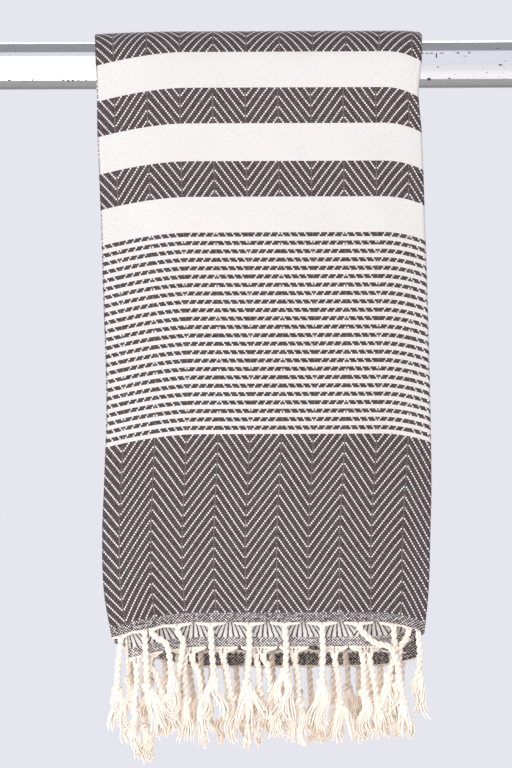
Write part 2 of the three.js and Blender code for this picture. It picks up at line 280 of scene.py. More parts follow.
# The back's tufts are wider and fuller than the tables say.
BACK_TUFT_WIDTH = 1.5
BACK_TUFT_YARNS = 1.3

# How warm the yarn is on each side, from 0 to 1, and how much warmer on the inner layer: painted
# warm shade, because the back and inner cords hang deeper in shadow.
YARN_SHADE_WARMTH = {"front": 0.08, "back": 0.35}
INNER_SHADE_WARMTH = 0.12

# ------------------------------------------------------------------ the weave, threads and mm

# Weft rows counted from the hem band: a dark field, two dark stripes and the dark middle, and
# the rows in which dark lines two rows high come round.
DARK_ROWS = ((0, 85), (198, 215), (233, 250), (267, 400))
DASHED_ROWS = (85, 181)
DASH_REPEAT = 4

# A warp float comes round after so many threads, reaches so far to each side, and leans.
FLOAT_REPEAT = 5
FLOAT_REACH = 0.78
FLOAT_LEAN = -0.24

# Warp ends from one dark line of the reverse to the next, the same where the lines fan out by
# the hems, and the heights above the hem between which the fan comes in.
LINE_REPEAT = 3.2
FAN_REPEAT = 5.1
FAN_HEIGHTS = (25.0, 22.0)

# The finer yarns of the hem bands.
HEM_WARP_STEP = 1.25
HEM_WEFT_STEP = 1.1

# ------------------------------------------------------------------ the rail's marks, the lights

# Old knocks and scratches on the rail: place along it, place round it from the front upwards,
# half length and half height, in mm.
RAIL_MARKS = (
    (126.4, 8.3, 1.3, 0.4),
    (130.2, 8.2, 1.2, 0.4),
    (133.6, 8.3, 1.3, 0.4),
    (137.4, 6.4, 0.6, 2.3),
    (141.6, 8.4, 1.6, 0.4),
    (153.9, 8.5, 1.2, 0.6),
    (162.7, 8.6, 0.8, 0.6),
    (186.6, -1.3, 1.5, 0.7),
    (138.5, -2.6, 0.6, 0.7),
    (131.6, -12.9, 1.4, 1.4),
    (147.4, -12.3, 1.0, 0.7),
    (184.7, 12.6, 1.2, 0.4),
    (-150.2, -12.8, 0.7, 1.0),
    (-146.4, -13.2, 1.0, 0.9),
    (-142.9, -12.9, 0.8, 1.1),
    (-138.6, -13.1, 0.7, 0.5),
    (-132.5, -12.8, 0.7, 0.6),
    (-191.8, -12.4, 1.3, 0.8),
    (-180.2, -13.4, 1.7, 0.5),
    (-174.0, -12.2, 0.5, 0.9),
)

# Each softbox: its place, what it is aimed at, its width and height, all in metres, and the
# setting that holds its power.
SOFTBOXES = {
    "key_softbox": ((-1.05, -2.2, 0.8), (0, 0, 0.8), (1.9, 3.7), "key_power"),
    "low_fill": ((0, -1.265, -0.91), (0, 0, 0.94), (3.4, 2.27), "fill_power"),
    "low_left": ((-0.9, -1.23, -0.86), (-0.9, 0, 0.94), (1.6, 2.2), "fill_power"),
    "back_softbox": ((0.5, 2.3, 0.75), (0, 0, -0.2), (2.4, 1.1), "back_power"),
    "top_softbox": ((0.3, -0.7, 1.7), (0, 0, 0), (1.6, 1.2), "top_power"),
}

# The angle that the back softbox spreads over, the camera's sensor in mm, and the floor's sides.
BACK_SPREAD = math.radians(100)
SENSOR = 36
FLOOR_SIDES = 96


# ------------------------------------------------------------------ settings


def metres(name, description, default):
    return bpy.props.FloatProperty(
        name=name, description=description, default=default, unit="LENGTH"
    )


def watts(name, description, default):
    return bpy.props.FloatProperty(
        name=name, description=description, default=default, subtype="POWER"
    )


def rgb(name, description, default, top=1):
    return bpy.props.FloatVectorProperty(
        name=name, description=description, default=default, subtype="COLOR", min=0, max=top
    )


def whole(name, description, default, low=0):
    return bpy.props.IntProperty(name=name, description=description, default=default, min=low)


class RailSettings(bpy.types.PropertyGroup):
    """Sizes and finish of the tube rail."""

    length: metres("Length", "Length of the tube", RAIL_HIGH[0] - RAIL_LOW[0])
    radius: metres("Radius", "Outside radius of the tube", (RAIL_HIGH[2] - RAIL_LOW[2]) / 2)
    wall: metres("Wall", "Thickness of the tube's wall", 0.002)
    chamfer: metres("Chamfer", "Width of the chamfer round each cut end", 0.0005)
    sides: whole("Sides", "Number of faces round the tube", 192, low=24)
    steel: rgb("Steel", "Colour of the bare steel", (0.72, 0.72, 0.74))
    wear: rgb("Wear", "Colour in scratches and pits", (0.09, 0.09, 0.1))
    bore: rgb("Bore", "Colour of the dull inside", (0.5, 0.49, 0.49))


class ClothSettings(bpy.types.PropertyGroup):
    """Sizes, weave and colours of the towel."""

    flat_width: metres("Flat Width", "Width of the towel between its selvedges, laid flat", 0.5)
    flat_length: metres("Flat Length", "Length of the towel without its fringes, laid flat", 0.97)
    thickness: metres("Thickness", "Thickness of the cloth", 0.0016)
    ripple: metres("Ripple", "Height of the small waves in the hanging cloth", 0.0009)
    warp_step: metres("Warp Step", "Distance from one warp end to the next", 0.025 / 21)
    weft_step: metres("Weft Step", "Distance from one weft row to the next", 0.001615)
    herringbone_width: metres(
        "Herringbone Width", "Width of each run of slanted floats between two reversals", 0.025
    )
    first_valley: metres(
        "First Valley", "Distance of the first reversal from the outer selvedge", 0.0136
    )
    hem_band: metres("Hem Band", "Height of the plain-woven band at each end", 0.008)
    draw_spacing: metres(
        "Draw Spacing", "Distance between the places where the cords draw a hem up", 0.0278
    )
    first_draw: metres(
        "First Draw", "Distance of the first such place from the outer selvedge", 0.0246
    )
    dark_yarn: rgb("Dark Yarn", "Colour of the dark weft", (0.0625, 0.0425, 0.047))
    cream_yarn: rgb(
        "Cream Yarn", "Colour of the warp and of the cream weft", (0.618, 0.593, 0.568)
    )


class FringeSettings(bpy.types.PropertyGroup):
    """Sizes and colours of the knotted fringes."""

    yarn_radius: metres("Yarn Radius", "Radius of one warp yarn in a cord", 0.00074)
    ply_radius: metres(
        "Ply Radius", "Distance of each ply's middle from the cord's middle", 0.00118
    )
    lay: metres("Lay", "Length of cord in which a ply makes one full turn", 0.0105)
    gather: metres("Gather", "Width of hem, to each side, that is gathered into one cord", 0.0115)
    knot_radius: metres("Knot Radius", "Radius of the knot's loops about its middle", 0.0021)
    fuzz: metres("Fuzz", "How far the yarns' surfaces wander", 0.00012)
    sides: whole("Sides", "Number of faces round each yarn", 5, low=3)
    seed: whole("Seed", "Seed of the fringes' small differences", 7)
    yarn: rgb("Yarn", "Colour of the clean yarn", (0.915, 0.815, 0.72))
    # The warm yarn colour is blended in by each point's tone. It is mostly painted warm shade on
    # the back and inner cords, with a little random warmth.
    warm_shade_yarn: rgb(
        "Warm Yarn", "Colour of the yarn's warmer, more shadowed parts", (0.99, 0.81, 0.66)
    )


class StageSettings(bpy.types.PropertyGroup):
    """The camera, lights, floor and surroundings."""

    camera_distance: metres(
        "Camera Distance", "Distance of the camera in front of the rail's axis", 5.0
    )
    camera_height: metres("Camera Height", "Height of the camera against the rail's axis", -0.2463)
    camera_across: metres("Camera Across", "Place of the camera along the rail", -0.0026)
    camera_roll: bpy.props.FloatProperty(
        name="Camera Roll",
        description="Turn of the camera about its line of sight",
        default=math.radians(0.22),
        subtype="ANGLE",
    )
    lens: bpy.props.FloatProperty(
        name="Lens", description="Focal length, in millimetres", default=303.2
    )
    key_power: watts("Key Power", "Power of the large soft light in front", 26.5)
    fill_power: watts("Fill Power", "Power of each low light in front", 15.5)
    back_power: watts("Back Power", "Power of the soft light behind", 23.0)
    top_power: watts("Top Power", "Power of the soft light overhead", 7.0)
    front: rgb(
        "Front", "Colour of the bright surroundings behind the camera", (0.97, 0.99, 1.06), top=2
    )
    surround: rgb("Surround", "Colour of the light surroundings", (0.79, 0.79, 0.86))
    ceiling: rgb("Ceiling", "Colour of the darker surroundings overhead", (0.4, 0.4, 0.43))
    floor: rgb("Floor", "Colour of the floor", (0.62, 0.59, 0.575))
    floor_height: metres("Floor Height", "Height of the floor against the rail's axis", -1.6)
    floor_radius: metres("Floor Radius", "Radius of the round floor", 13.0)


# ------------------------------------------------------------------ node building

FLOAT = "NodeSocketFloat"
COLOUR = "NodeSocketColor"
VECTOR = "NodeSocketVector"

# A Mix node's sockets for its share, its two values and its result, by data type.
MIX_SOCKETS = {"FLOAT": (0, 2, 3, 0), "RGBA": (0, 6, 7, 2)}


def arithmetic(operation, swapped=False):
    """A method that adds a math node for a Value and something else."""

    def method(self, other):
        values = (other, self) if swapped else (self, other)
        return self.graph.math(operation, *values)

    return method


class Value:
    """What a node's output gives. Arithmetic on it adds math nodes."""

    def __init__(self, graph, socket):
        self.graph = graph
        self.socket = socket

    __add__ = arithmetic("ADD")
    __sub__ = arithmetic("SUBTRACT")
    __rsub__ = arithmetic("SUBTRACT", swapped=True)
    __mul__ = arithmetic("MULTIPLY")
    __truediv__ = arithmetic("DIVIDE")
    __mod__ = arithmetic("FLOORED_MODULO")
    __pow__ = arithmetic("POWER")
    __lt__ = arithmetic("LESS_THAN")
    __gt__ = arithmetic("GREATER_THAN")


class Graph:
    """Adds nodes to one node tree and joins them."""

    def __init__(self, tree):
        self.tree = tree

    def feed(self, socket, value):
        if isinstance(value, Value):
            self.tree.links.new(value.socket, socket)
        else:
            socket.default_value = value

    def node(self, kind, inputs=None, **settings):
        node = self.tree.nodes.new(kind)
        for name, value in settings.items():
            setattr(node, name, value)
        for key, value in (inputs or {}).items():
            self.feed(node.inputs[key], value)
        return node

    def add(self, kind, inputs=None, output=0, **settings):
        """Adds a node, and gives the Value of one of its outputs."""
        return Value(self, self.node(kind, inputs, **settings).outputs[output])

    def values(self, node):
        return {socket.name: Value(self, socket) for socket in node.outputs}

    def math(self, operation, *values):
        return self.add("ShaderNodeMath", dict(enumerate(values)), operation=operation)

    def larger(self, first, second):
        return self.math("MAXIMUM", first, second)

    def smaller(self, first, second):
        return self.math("MINIMUM", first, second)

    def smooth(self, value, low, high):
        """0 below low and 1 above high, or the other way round where low is the larger."""
        span = {"Value": value, "From Min": low, "From Max": high}
        return self.add("ShaderNodeMapRange", span, "Result", interpolation_type="SMOOTHSTEP")

    def mix(self, share, first, second, kind="FLOAT"):
        """first where share is 0, and second where it is 1."""
        *places, result = MIX_SOCKETS[kind]
        inputs = dict(zip(places, (share, first, second)))
        return self.add("ShaderNodeMix", inputs, result, data_type=kind, clamp_factor=True)

    def blend(self, share, first, second):
        return self.mix(share, first, second, "RGBA")

    def scale(self, vector, amount):
        inputs = {0: vector, "Scale": amount}
        return self.add("ShaderNodeVectorMath", inputs, operation="SCALE")

    def split(self, vector):
        return self.values(self.node("ShaderNodeSeparateXYZ", {"Vector": vector})).values()

    def place(self):
        """Where the shaded point is on its object."""
        return self.add("ShaderNodeTexCoord", output="Object")

    def noise(self, vector, scale, detail=2.0):
        inputs = {"Vector": vector, "Scale": scale, "Detail": detail}
        return self.add("ShaderNodeTexNoise", inputs, "Fac")

    def streaks(self, vector, scales, detail=2.0, scale=1.0):
        """Noise drawn out by a scale of its own on each axis."""
        stretched = self.add("ShaderNodeMapping", {"Vector": vector, "Scale": scales})
        return self.noise(stretched, scale, detail)

    def bump(self, height, strength, distance):
        inputs = {"Strength": strength, "Distance": distance, "Height": height}
        return self.add("ShaderNodeBump", inputs)

    def group(self, tree, inputs):
        return self.values(self.node("ShaderNodeGroup", inputs, node_tree=tree))

    def shade(self, inputs):
        """Feeds the material's Principled BSDF."""
        shader = self.tree.nodes["Principled BSDF"]
        for name, value in inputs.items():
            self.feed(shader.inputs[name], value)


def rgba(colour):
    return (*colour, 1.0)


def new_group(name, inputs, outputs, kind="ShaderNodeTree"):
    """A node group, its Graph, the Values of its inputs, and the sockets of its outputs."""
    tree = bpy.data.node_groups.new(name, kind)
    for label, socket_type, default in inputs:
        socket = tree.interface.new_socket(name=label, in_out="INPUT", socket_type=socket_type)
        if default is not None:
            socket.default_value = default
    for label, socket_type in outputs:
        tree.interface.new_socket(name=label, in_out="OUTPUT", socket_type=socket_type)
    graph = Graph(tree)
    given = graph.values(graph.node("NodeGroupInput"))
    return tree, graph, given, graph.node("NodeGroupOutput").inputs


def new_material(name):
    material = bpy.data.materials.new(name)
    material.use_nodes = True
    return material, Graph(material.node_tree)


# ------------------------------------------------------------------ shared shader effects


def yarn_variation_group():
    """Slow changes of tone along cloth and yarn, with small darker specks."""
    tree, graph, inputs, outputs = new_group(
        "yarn_variation",
        (
            ("Position", VECTOR, None),
            ("Colour", COLOUR, (0.8, 0.8, 0.8, 1)),
            ("Patch Scale", FLOAT, 25.0),
            ("Patch Strength", FLOAT, 0.06),
            ("Speck Scale", FLOAT, 900.0),
            ("Speck Strength", FLOAT, 0.1),
        ),
        (("Colour", COLOUR),),
    )
    patch = graph.noise(inputs["Position"], inputs["Patch Scale"], 3.0) - 0.5
    speck = graph.noise(inputs["Position"], inputs["Speck Scale"], 1.0)
    speck = graph.smooth(speck, 0.58, 0.75) * inputs["Speck Strength"]
    tone = patch * inputs["Patch Strength"] + 1.0 - speck
    graph.feed(outputs["Colour"], graph.scale(inputs["Colour"], tone))
    return tree


def weave_measures(cloth):
    """The weave group's measures, in millimetres."""
    return {
        "Width": cloth.flat_width / MM,
        "Length": cloth.flat_length / MM,
        "Warp Step": cloth.warp_step / MM,
        "Weft Step": cloth.weft_step / MM,
        "Herringbone Width": cloth.herringbone_width / MM,
        "First Valley": cloth.first_valley / MM,
        "Hem Band": cloth.hem_band / MM,
        "Draw Spacing": cloth.draw_spacing / MM,
        "First Draw": cloth.first_draw / MM,
    }


def weave_group(cloth):
    """The towel's weave: stripes of dark and cream weft under a broken-twill cream warp.

    Flat is the place on the flat cloth, in metres: across from the outer selvedge, then along
    from the front hem. Reverse is 0 on the face and 1 on the other side.
    """
    tree, graph, inputs, outputs = new_group(
        "double_faced_weave",
        (
            ("Flat", VECTOR, None),
            ("Reverse", FLOAT, 0.0),
            ("Dark Yarn", COLOUR, rgba(cloth.dark_yarn)),
            ("Cream Yarn", COLOUR, rgba(cloth.cream_yarn)),
            *((label, FLOAT, value) for label, value in weave_measures(cloth).items()),
        ),
        (("Colour", COLOUR), ("Height", FLOAT), ("Roughness", FLOAT)),
    )
    length = inputs["Length"]
    warp_step = inputs["Warp Step"]
    weft_step = inputs["Weft Step"]
    herringbone = inputs["Herringbone Width"]
    flat = graph.scale(inputs["Flat"], 1 / MM)
    across, along, _ = graph.split(flat)
    wander = (graph.noise(flat, 0.35, 1.0) - 0.5) * 0.5

    def from_nearest(value, repeat):
        """How far a value is past the nearest whole repeat."""
        return (value + repeat * 0.5) % repeat - repeat * 0.5

    def absolute(value):
        return graph.math("ABSOLUTE", value)

    def roundness(share):
        """1 along a yarn's middle, falling to 0 at its sides."""
        return 1.0 - (share * 2.0) ** 2.0

    # Counted threads: the warp end out from the nearest reversal, and the weft row.
    run = graph.math("PINGPONG", across - inputs["First Valley"], herringbone)
    warp_place = (wander * 0.5 + run) / warp_step
    warp_end = graph.math("ROUND", warp_place)
    off_warp = (warp_place - warp_end) * warp_step
    weft_place = (wander * 0.6 + (along - inputs["Hem Band"])) / weft_step
    row = graph.math("FLOOR", weft_place)
    row_share = weft_place - row - 0.5
    off_row = row_share * weft_step
    woven = length - inputs["Hem Band"] * 2.0
    last_row = graph.math("FLOOR", woven / weft_step) - 1.0
    chart_row = graph.smaller(row, last_row - row)

    def rows(first, end):
        return (chart_row > first - 0.5) * (chart_row < end - 0.5)

    in_dash = (chart_row - DASHED_ROWS[0]) % DASH_REPEAT
    dark = rows(*DASHED_ROWS) * (in_dash > 1.5)
    for first, end in DARK_ROWS:
        dark = dark + rows(first, end)
    hem = chart_row < -0.5

    # A float shows where the slanted count of end and row comes round.
    lifted = (row - warp_end) % FLOAT_REPEAT < 0.5
    reversal = graph.smaller(warp_end, herringbone / warp_step - warp_end) < 0.5
    lean = off_row * FLOAT_LEAN + off_warp
    spread = (lean / FLOAT_REACH) ** 2.0 + (off_row / FLOAT_REACH) ** 2.0
    thread = graph.add("ShaderNodeCombineXYZ", {"X": warp_end, "Y": row})
    chance = graph.add("ShaderNodeTexWhiteNoise", {"Vector": thread}, "Value")
    dot = graph.smooth(spread, 1.2, 0.6) * lifted * (1.0 - reversal * 0.9)
    dot = dot * graph.smooth(chance, -0.4, 0.25)

    # On the reverse the warp covers the ground and the dark weft shows as thin slanted lines.
    slope = weft_place - 0.5 - warp_place
    from_line = absolute(from_nearest(slope, LINE_REPEAT))
    dark_line = graph.smooth(wander * 1.2 + from_line, 0.72, 0.3)

    # By the hems those lines fan out from where the cords draw the cloth up between them.
    from_hem = graph.smaller(along, length - along)
    to_draw = from_nearest(across - inputs["First Draw"], inputs["Draw Spacing"])
    fan = (wander * 2.5 + to_draw) / (from_hem * -0.045 + 1.3)
    fan_line = graph.smooth(absolute(from_nearest(fan, FAN_REPEAT)), 1.1, 0.6)
    dark_line = graph.mix(graph.smooth(from_hem, *FAN_HEIGHTS), dark_line, fan_line)

    # Relief and tones of the yarns. Each yarn is lighter along its round middle and darker at its
    # sides: painted shade between the rows and warp ends. Mottle, fibre and patches are the yarn's
    # own tone.
    row_round = roundness(row_share)
    warp_round = roundness(off_warp / warp_step)
    fibre = graph.streaks(flat, (0.9, 2.6, 1.0))
    mottle = graph.smooth(graph.streaks(flat, (0.55, 0.8, 1.0), 1.0), 0.34, 0.66)
    patches = graph.smooth(graph.noise(flat, 0.11), 0.35, 0.65)
    greyer = {"Saturation": 0.75, "Value": 1.03, "Color": inputs["Dark Yarn"]}
    greyer = graph.add("ShaderNodeHueSaturation", greyer)
    dark_tone = row_round * 0.45 + mottle * 0.75 + fibre * 0.34 + 0.18
    dark_colour = graph.blend(patches, inputs["Dark Yarn"], greyer)
    dark_colour = graph.scale(dark_colour, dark_tone)
    cream_tone = row_round * 0.05 + warp_round * 0.03 + dot * dark * 0.13 + 0.93
    cream_colour = graph.scale(inputs["Cream Yarn"], cream_tone)

    # Along each reversal a thin broken light line runs between the two slants.
    broken = graph.smooth(graph.streaks(flat, (0.25, 0.9, 1.0), 1.0), 0.42, 0.58)
    line = graph.smooth(absolute(off_warp), 0.42, 0.16) * reversal * broken
    face_dark = dark * (1.0 - dot) - line * 0.3
    dark_share = graph.mix(inputs["Reverse"], face_dark, dark * dark_line)

    # Plain-woven hem: cream warp and dark weft, over and under in turn. It is a little darker on
    # the face. On both sides of the back hem it is darker as painted shade, because the back hems
    # hang in shadow behind the front layers.
    fine_warp = graph.math("SINE", across * (math.pi / HEM_WARP_STEP))
    fine_weft = graph.math("SINE", along * (math.pi / HEM_WEFT_STEP))
    clumps = graph.streaks(flat, (0.42, 0.5, 1.0)) * 3.4 - 1.7
    darker = graph.larger(along > length * 0.5, 1.0 - inputs["Reverse"])
    checks = fine_warp * fine_weft + clumps - darker * 0.3
    dark_share = graph.mix(hem, dark_share, graph.smooth(checks, 0.25, -0.1))

    # The dark weft is carried up the selvedge past the cream rows, and shows as broken dots.
    from_edge = graph.smaller(across, inputs["Width"] - across)
    carried = graph.smooth(graph.streaks(flat, (0.02, 0.7, 1.0)), 0.38, 0.55)
    carried = graph.smooth(from_edge, 1.6, 0.7) * carried
    dark_share = graph.larger(dark_share, carried * 0.75)

    graph.feed(outputs["Colour"], graph.blend(dark_share, cream_colour, dark_colour))
    height = row_round * 0.45 + dot * 0.7 + warp_round * 0.2 + fibre * 0.35
    graph.feed(outputs["Height"], height)
    graph.feed(outputs["Roughness"], fibre * 0.12 + 0.8)
    return tree


def cloth_material(name, cloth, groups, reverse):
    """One side of the cloth. reverse is 0 for its face and 1 for the other side."""
    material, graph = new_material(name)
    flat = graph.add("ShaderNodeUVMap", uv_map="flat")
    weave = graph.group(
        groups["weave"],
        {
            "Flat": flat,
            "Reverse": reverse,
            "Dark Yarn": rgba(cloth.dark_yarn),
            "Cream Yarn": rgba(cloth.cream_yarn),
            **weave_measures(cloth),
        },
    )
    varied = graph.group(
        groups["variation"],
        {
            "Position": flat,
            "Colour": weave["Colour"],
            "Patch Scale": 18.0,
            "Patch Strength": 0.1,
            "Speck Scale": 420.0,
            "Speck Strength": 0.07,
        },
    )
    graph.shade(
        {
            "Base Color": varied["Colour"],
            "Roughness": weave["Roughness"],
            "Normal": graph.bump(weave["Height"], 0.6, 0.00016),
            "Specular IOR Level": 0.2,
            "Sheen Weight": 0.12,
            "Sheen Roughness": 0.5,
        }
    )
    return material


def yarn_material(fringe, groups):
    """Plied cotton: the yarn's own twist shows as fine slanting grooves."""
    material, graph = new_material("fringe_cotton")
    tone = graph.add("ShaderNodeAttribute", output="Fac", attribute_name="tone")
    along = graph.add("ShaderNodeAttribute", output="Fac", attribute_name="along")
    rim = graph.add("ShaderNodeAttribute", output="Vector", attribute_name="rim")
    rim_x, rim_y, _ = graph.split(rim)
    turn = graph.math("ARCTAN2", rim_y, rim_x)
    twist = along * (math.tau / (YARN_LAY * MM)) + turn
    groove = graph.math("SINE", twist * 2.0)
    place = graph.place()
    fibre = graph.streaks(place, (1.0, 1.0, 0.35), scale=2200.0)
    # Blends towards the warm colour by tone: painted warm shade on the deeper cords, plus random
    # warmth.
    base = graph.blend(tone, rgba(fringe.yarn), rgba(fringe.warm_shade_yarn))
    varied = graph.group(
        groups["variation"],
        {
            "Position": place,
            # The twist's grooves darken the colour a little: painted shade in the grooves.
            "Colour": graph.scale(base, groove * 0.04 + 0.97),
            "Patch Scale": 60.0,
            "Patch Strength": 0.12,
            "Speck Scale": 700.0,
            "Speck Strength": 0.08,
        },
    )
    graph.shade(
        {
            "Base Color": varied["Colour"],
            "Roughness": fibre * 0.16 + 0.76,
            "Normal": graph.bump(fibre * 0.8 + groove, 0.5, 0.0001),
            "Specular IOR Level": 0.2,
            "Sheen Weight": 0.5,
            "Sheen Roughness": 0.5,
            "Sheen Tint": (1.0, 0.94, 0.87, 1.0),
            "Subsurface Weight": 0.1,
            "Subsurface Radius": (1.0, 0.85, 0.7),
            "Subsurface Scale": 0.001,
        }
    )
    return material


def steel_material(rail):
    """Drawn steel tube: fine lines along it, short scratches, small pits and old marks, and
    painted shade that darkens its underside.
    """
    material, graph = new_material("drawn_steel")
    place = graph.place()
    x, y, z = graph.split(place)
    drawn = graph.streaks(place, (6.0, 900.0, 900.0), 3.0)
    smear = graph.streaks(place, (9.0, 60.0, 60.0), 3.0)
    dashes = graph.smooth(graph.streaks(place, (160.0, 1500.0, 1500.0), 1.0), 0.66, 0.74)
    dashes = dashes * graph.smooth(graph.noise(place, 55.0), 0.5, 0.62)
    pits = graph.add("ShaderNodeTexVoronoi", {"Vector": place, "Scale": 210.0}, "Distance")
    pits = graph.smooth(pits, 0.16, 0.08)
    pits = pits * graph.smooth(graph.noise(place, 38.0), 0.56, 0.66)
    wear = graph.larger(dashes, pits) * 0.7
    round_rail = graph.math("ARCTAN2", z, y * -1.0) * (rail.radius / MM)
    ragged = graph.noise(place, 1400.0) * 1.4 + 0.3
    for along, up, half_length, half_height in RAIL_MARKS:
        from_x = (x * (1 / MM) - along) / half_length
        from_up = (round_rail - up) / half_height
        reach = from_x * from_x + from_up * from_up
        wear = graph.larger(wear, graph.smooth(reach * ragged, 1.3, 0.7))
    # Painted shade: the steel's colour is darkened on the tube's underside, giving the darker band
    # that the tube mirrors from below.
    under = graph.smooth(z, -0.62 * rail.radius, -0.7 * rail.radius)
    tone = (smear * 0.14 + 0.93) * (1.0 - under * 0.28)
    steel = graph.scale(tuple(rail.steel), tone)
    graph.shade(
        {
            "Base Color": graph.blend(wear, steel, rgba(rail.wear)),
            "Roughness": drawn * 0.05 + smear * 0.08 + wear * 0.3 + 0.03,
            "Normal": graph.bump(drawn * 0.4 - wear, 0.35, 0.00005),
            "Metallic": 1.0,
        }
    )
    return material


def bore_material(rail):
    """The tube's inside, left dull from rolling, with a little dust."""
    material, graph = new_material("dull_bore")
    place = graph.place()
    grain = graph.streaks(place, (20.0, 700.0, 700.0), 3.0)
    dust = graph.noise(place, 90.0, 3.0)
    graph.shade(
        {
            "Base Color": graph.scale(tuple(rail.bore), grain * 0.3 + dust * 0.3 + 0.7),
            "Roughness": dust * 0.3 + 0.5,
            "Normal": graph.bump(grain, 0.3, 0.00005),
            "Metallic": 0.6,
        }
    )
    return material


def floor_material(stage):
    """A plain painted floor with faint patches."""
    material, graph = new_material("pale_floor")
    tone = graph.noise(graph.place(), 3.0) * 0.06 + 0.97
    graph.shade({"Base Color": graph.scale(tuple(stage.floor), tone), "Roughness": 0.85})
    return material


def shader_groups(cloth):
    """The shared groups, built once."""
    found = bpy.data.node_groups
    weave = found.get("double_faced_weave") or weave_group(cloth)
    variation = found.get("yarn_variation") or yarn_variation_group()
    return {"weave": weave, "variation": variation}


# ------------------------------------------------------------------ mesh helpers


def new_object(name, mesh, materials):
    for material in materials:
        mesh.materials.append(material)
    piece = bpy.data.objects.new(name, mesh)
    bpy.context.scene.collection.objects.link(piece)
    return piece


def mesh_from(name, points, faces):
    mesh = bpy.data.meshes.new(name)
    mesh.from_pydata([tuple(point) for point in points], [], faces)
    mesh.update()
    return mesh


def smooth_but_sharp(mesh, degrees):
    mesh.polygons.foreach_set("use_smooth", [True] * len(mesh.polygons))
    mesh.set_sharp_from_angle(angle=math.radians(degrees))


# ------------------------------------------------------------------ shape of the hanging cloth


def edge_fade(distance, reach, power):
    """Falls smoothly from 1 at an edge to 0 at reach from it."""
    return np.clip(1 - distance / reach, 0, 1) ** power


def smooth_step(value, low, high):
    share = np.clip((value - low) / (high - low), 0, 1)
    return share * share * (3 - 2 * share)


def read_outline(side, column, below):
    """A column of the outline table, on a smooth cubic, at depths below the rail's axis."""
    table = np.array(OUTLINE[side], float)
    depths = table[:, 0]
    values = table[:, column]
    row = np.clip(np.searchsorted(depths, below, side="right") - 1, 0, len(table) - 2)
    before = np.maximum(row - 1, 0)
    after = np.minimum(row + 2, len(table) - 1)
    span = depths[row + 1] - depths[row]
    share = np.clip((below - depths[row]) / span, 0, 1)
    slope_in = (values[row + 1] - values[before]) / (depths[row + 1] - depths[before]) * span
    slope_out = (values[after] - values[row]) / (depths[after] - depths[row]) * span
    cubed = share**3
    squared = share**2
    return (
        (2 * cubed - 3 * squared + 1) * values[row]
        + (cubed - 2 * squared + share) * slope_in
        + (3 * squared - 2 * cubed) * values[row + 1]
        + (cubed - squared) * slope_out
    )


def section_point(side, below, share, turn):
    """Place across, distance from the rail's axis, and face direction, of the sheet's section.

    share runs from the selvedge to the fold, and turn is the turn made round the fold.
    """
    left = read_outline(side, 1, below)
    right = read_outline(side, 2, below)
    tuck = read_outline(side, 3, below)
    fold_centre = right - FOLD_CLEARANCE
    selvedge = np.where(turn > math.pi - 0.01, left + tuck, left)
    x = selvedge + (fold_centre - selvedge) * share + FOLD_BEND * np.sin(turn)
    outer = (
        OUTER_RADIUS
        - SELVEDGE_SETTLE[0] * edge_fade(x - left, SELVEDGE_SETTLE[1], 1.5)
        - FOLD_SETTLE[0] * edge_fade(fold_centre - x, FOLD_SETTLE[1], 2)
    )
    fold = FOLD_CENTRE + FOLD_BEND * np.cos(turn)
    radius = np.where(turn < 0.01, outer, np.where(turn > math.pi - 0.01, INNER_RADIUS, fold))
    return x, radius, np.sin(turn), np.cos(turn)


def swell(side, x, below):
    """How far the soft folds stand away from the rail's side."""
    total = 0
    for place, width, out, start, end in SOFT_FOLDS[side]:
        bulge = out * np.exp(-(((x - place) / width) ** 2))
        total = total + bulge * smooth_step(below, start, end)
    return total


def hem_depth(side, share, turn):
    """Depth of the hem below the rail's axis."""
    nominal = np.full_like(share, DROP[side][0])
    left = read_outline(side, 1, nominal)
    x = section_point(side, nominal, share, turn)[0]
    fold_x = read_outline(side, 2, nominal) - FOLD_CLEARANCE
    selvedge_slant, outer_slant, inner_slant = SLANT[side]
    at_selvedge = selvedge_slant * edge_fade(x - left, SELVEDGE_REACH, 1.7)
    near_fold = edge_fade(fold_x - x, FOLD_REACH, 2)
    outer = DROP[side][0] + at_selvedge + outer_slant * near_fold
    inner = DROP[side][1] + at_selvedge + inner_slant * near_fold
    return outer + (inner - outer) * turn / math.pi


def weft_height(share, turn, below):
    """How far below the rail's axis the front hem's weft would lie, if it dipped as much as the
    weft does at this depth."""
    table = np.array(WEFT_DIP, float)
    nominal = np.full_like(share, DROP["front"][0])
    at_selvedge, at_fold, reach = (np.interp(below, table[:, 0], table[:, c]) for c in (1, 2, 3))
    left = read_outline("front", 1, nominal)
    x = section_point("front", nominal, share, turn)[0]
    fold_x = read_outline("front", 2, nominal) - FOLD_CLEARANCE
    dip = at_selvedge * edge_fade(x - left, SELVEDGE_REACH, 1.7)
    outer = DROP["front"][0] + dip + at_fold * edge_fade(fold_x - x, reach, 2)
    inner = DROP["front"][1] + dip + SLANT["front"][2] * edge_fade(fold_x - x, FOLD_REACH, 2)
    return outer + (inner - outer) * turn / math.pi


def ripple(side, x, below, height):
    """Small uneven waves that come in below the rail."""
    offset = 0.0 if side == "front" else 40.0
    waves = np.empty(np.shape(x))
    for index, (across, down) in enumerate(zip(np.ravel(x), np.ravel(below))):
        broad = noise.noise(Vector((across / 34, down / 95, offset)))
        fine = noise.noise(Vector((across / 11, down / 26, offset + 9.5)))
        waves.flat[index] = broad + 0.35 * fine
    return height * waves * smooth_step(below, 8, 90)


def hanging_points(side, below, share, turn, offset, waves):
    """Points of the hanging cloth, offset from the sheet's middle along its face."""
    x, radius, face_x, face_out = section_point(side, below, share, turn)
    out = radius + offset * face_out + swell(side, x, below) + waves
    y = -out if side == "front" else out
    return np.stack([x + offset * face_x, y, -below], axis=-1)


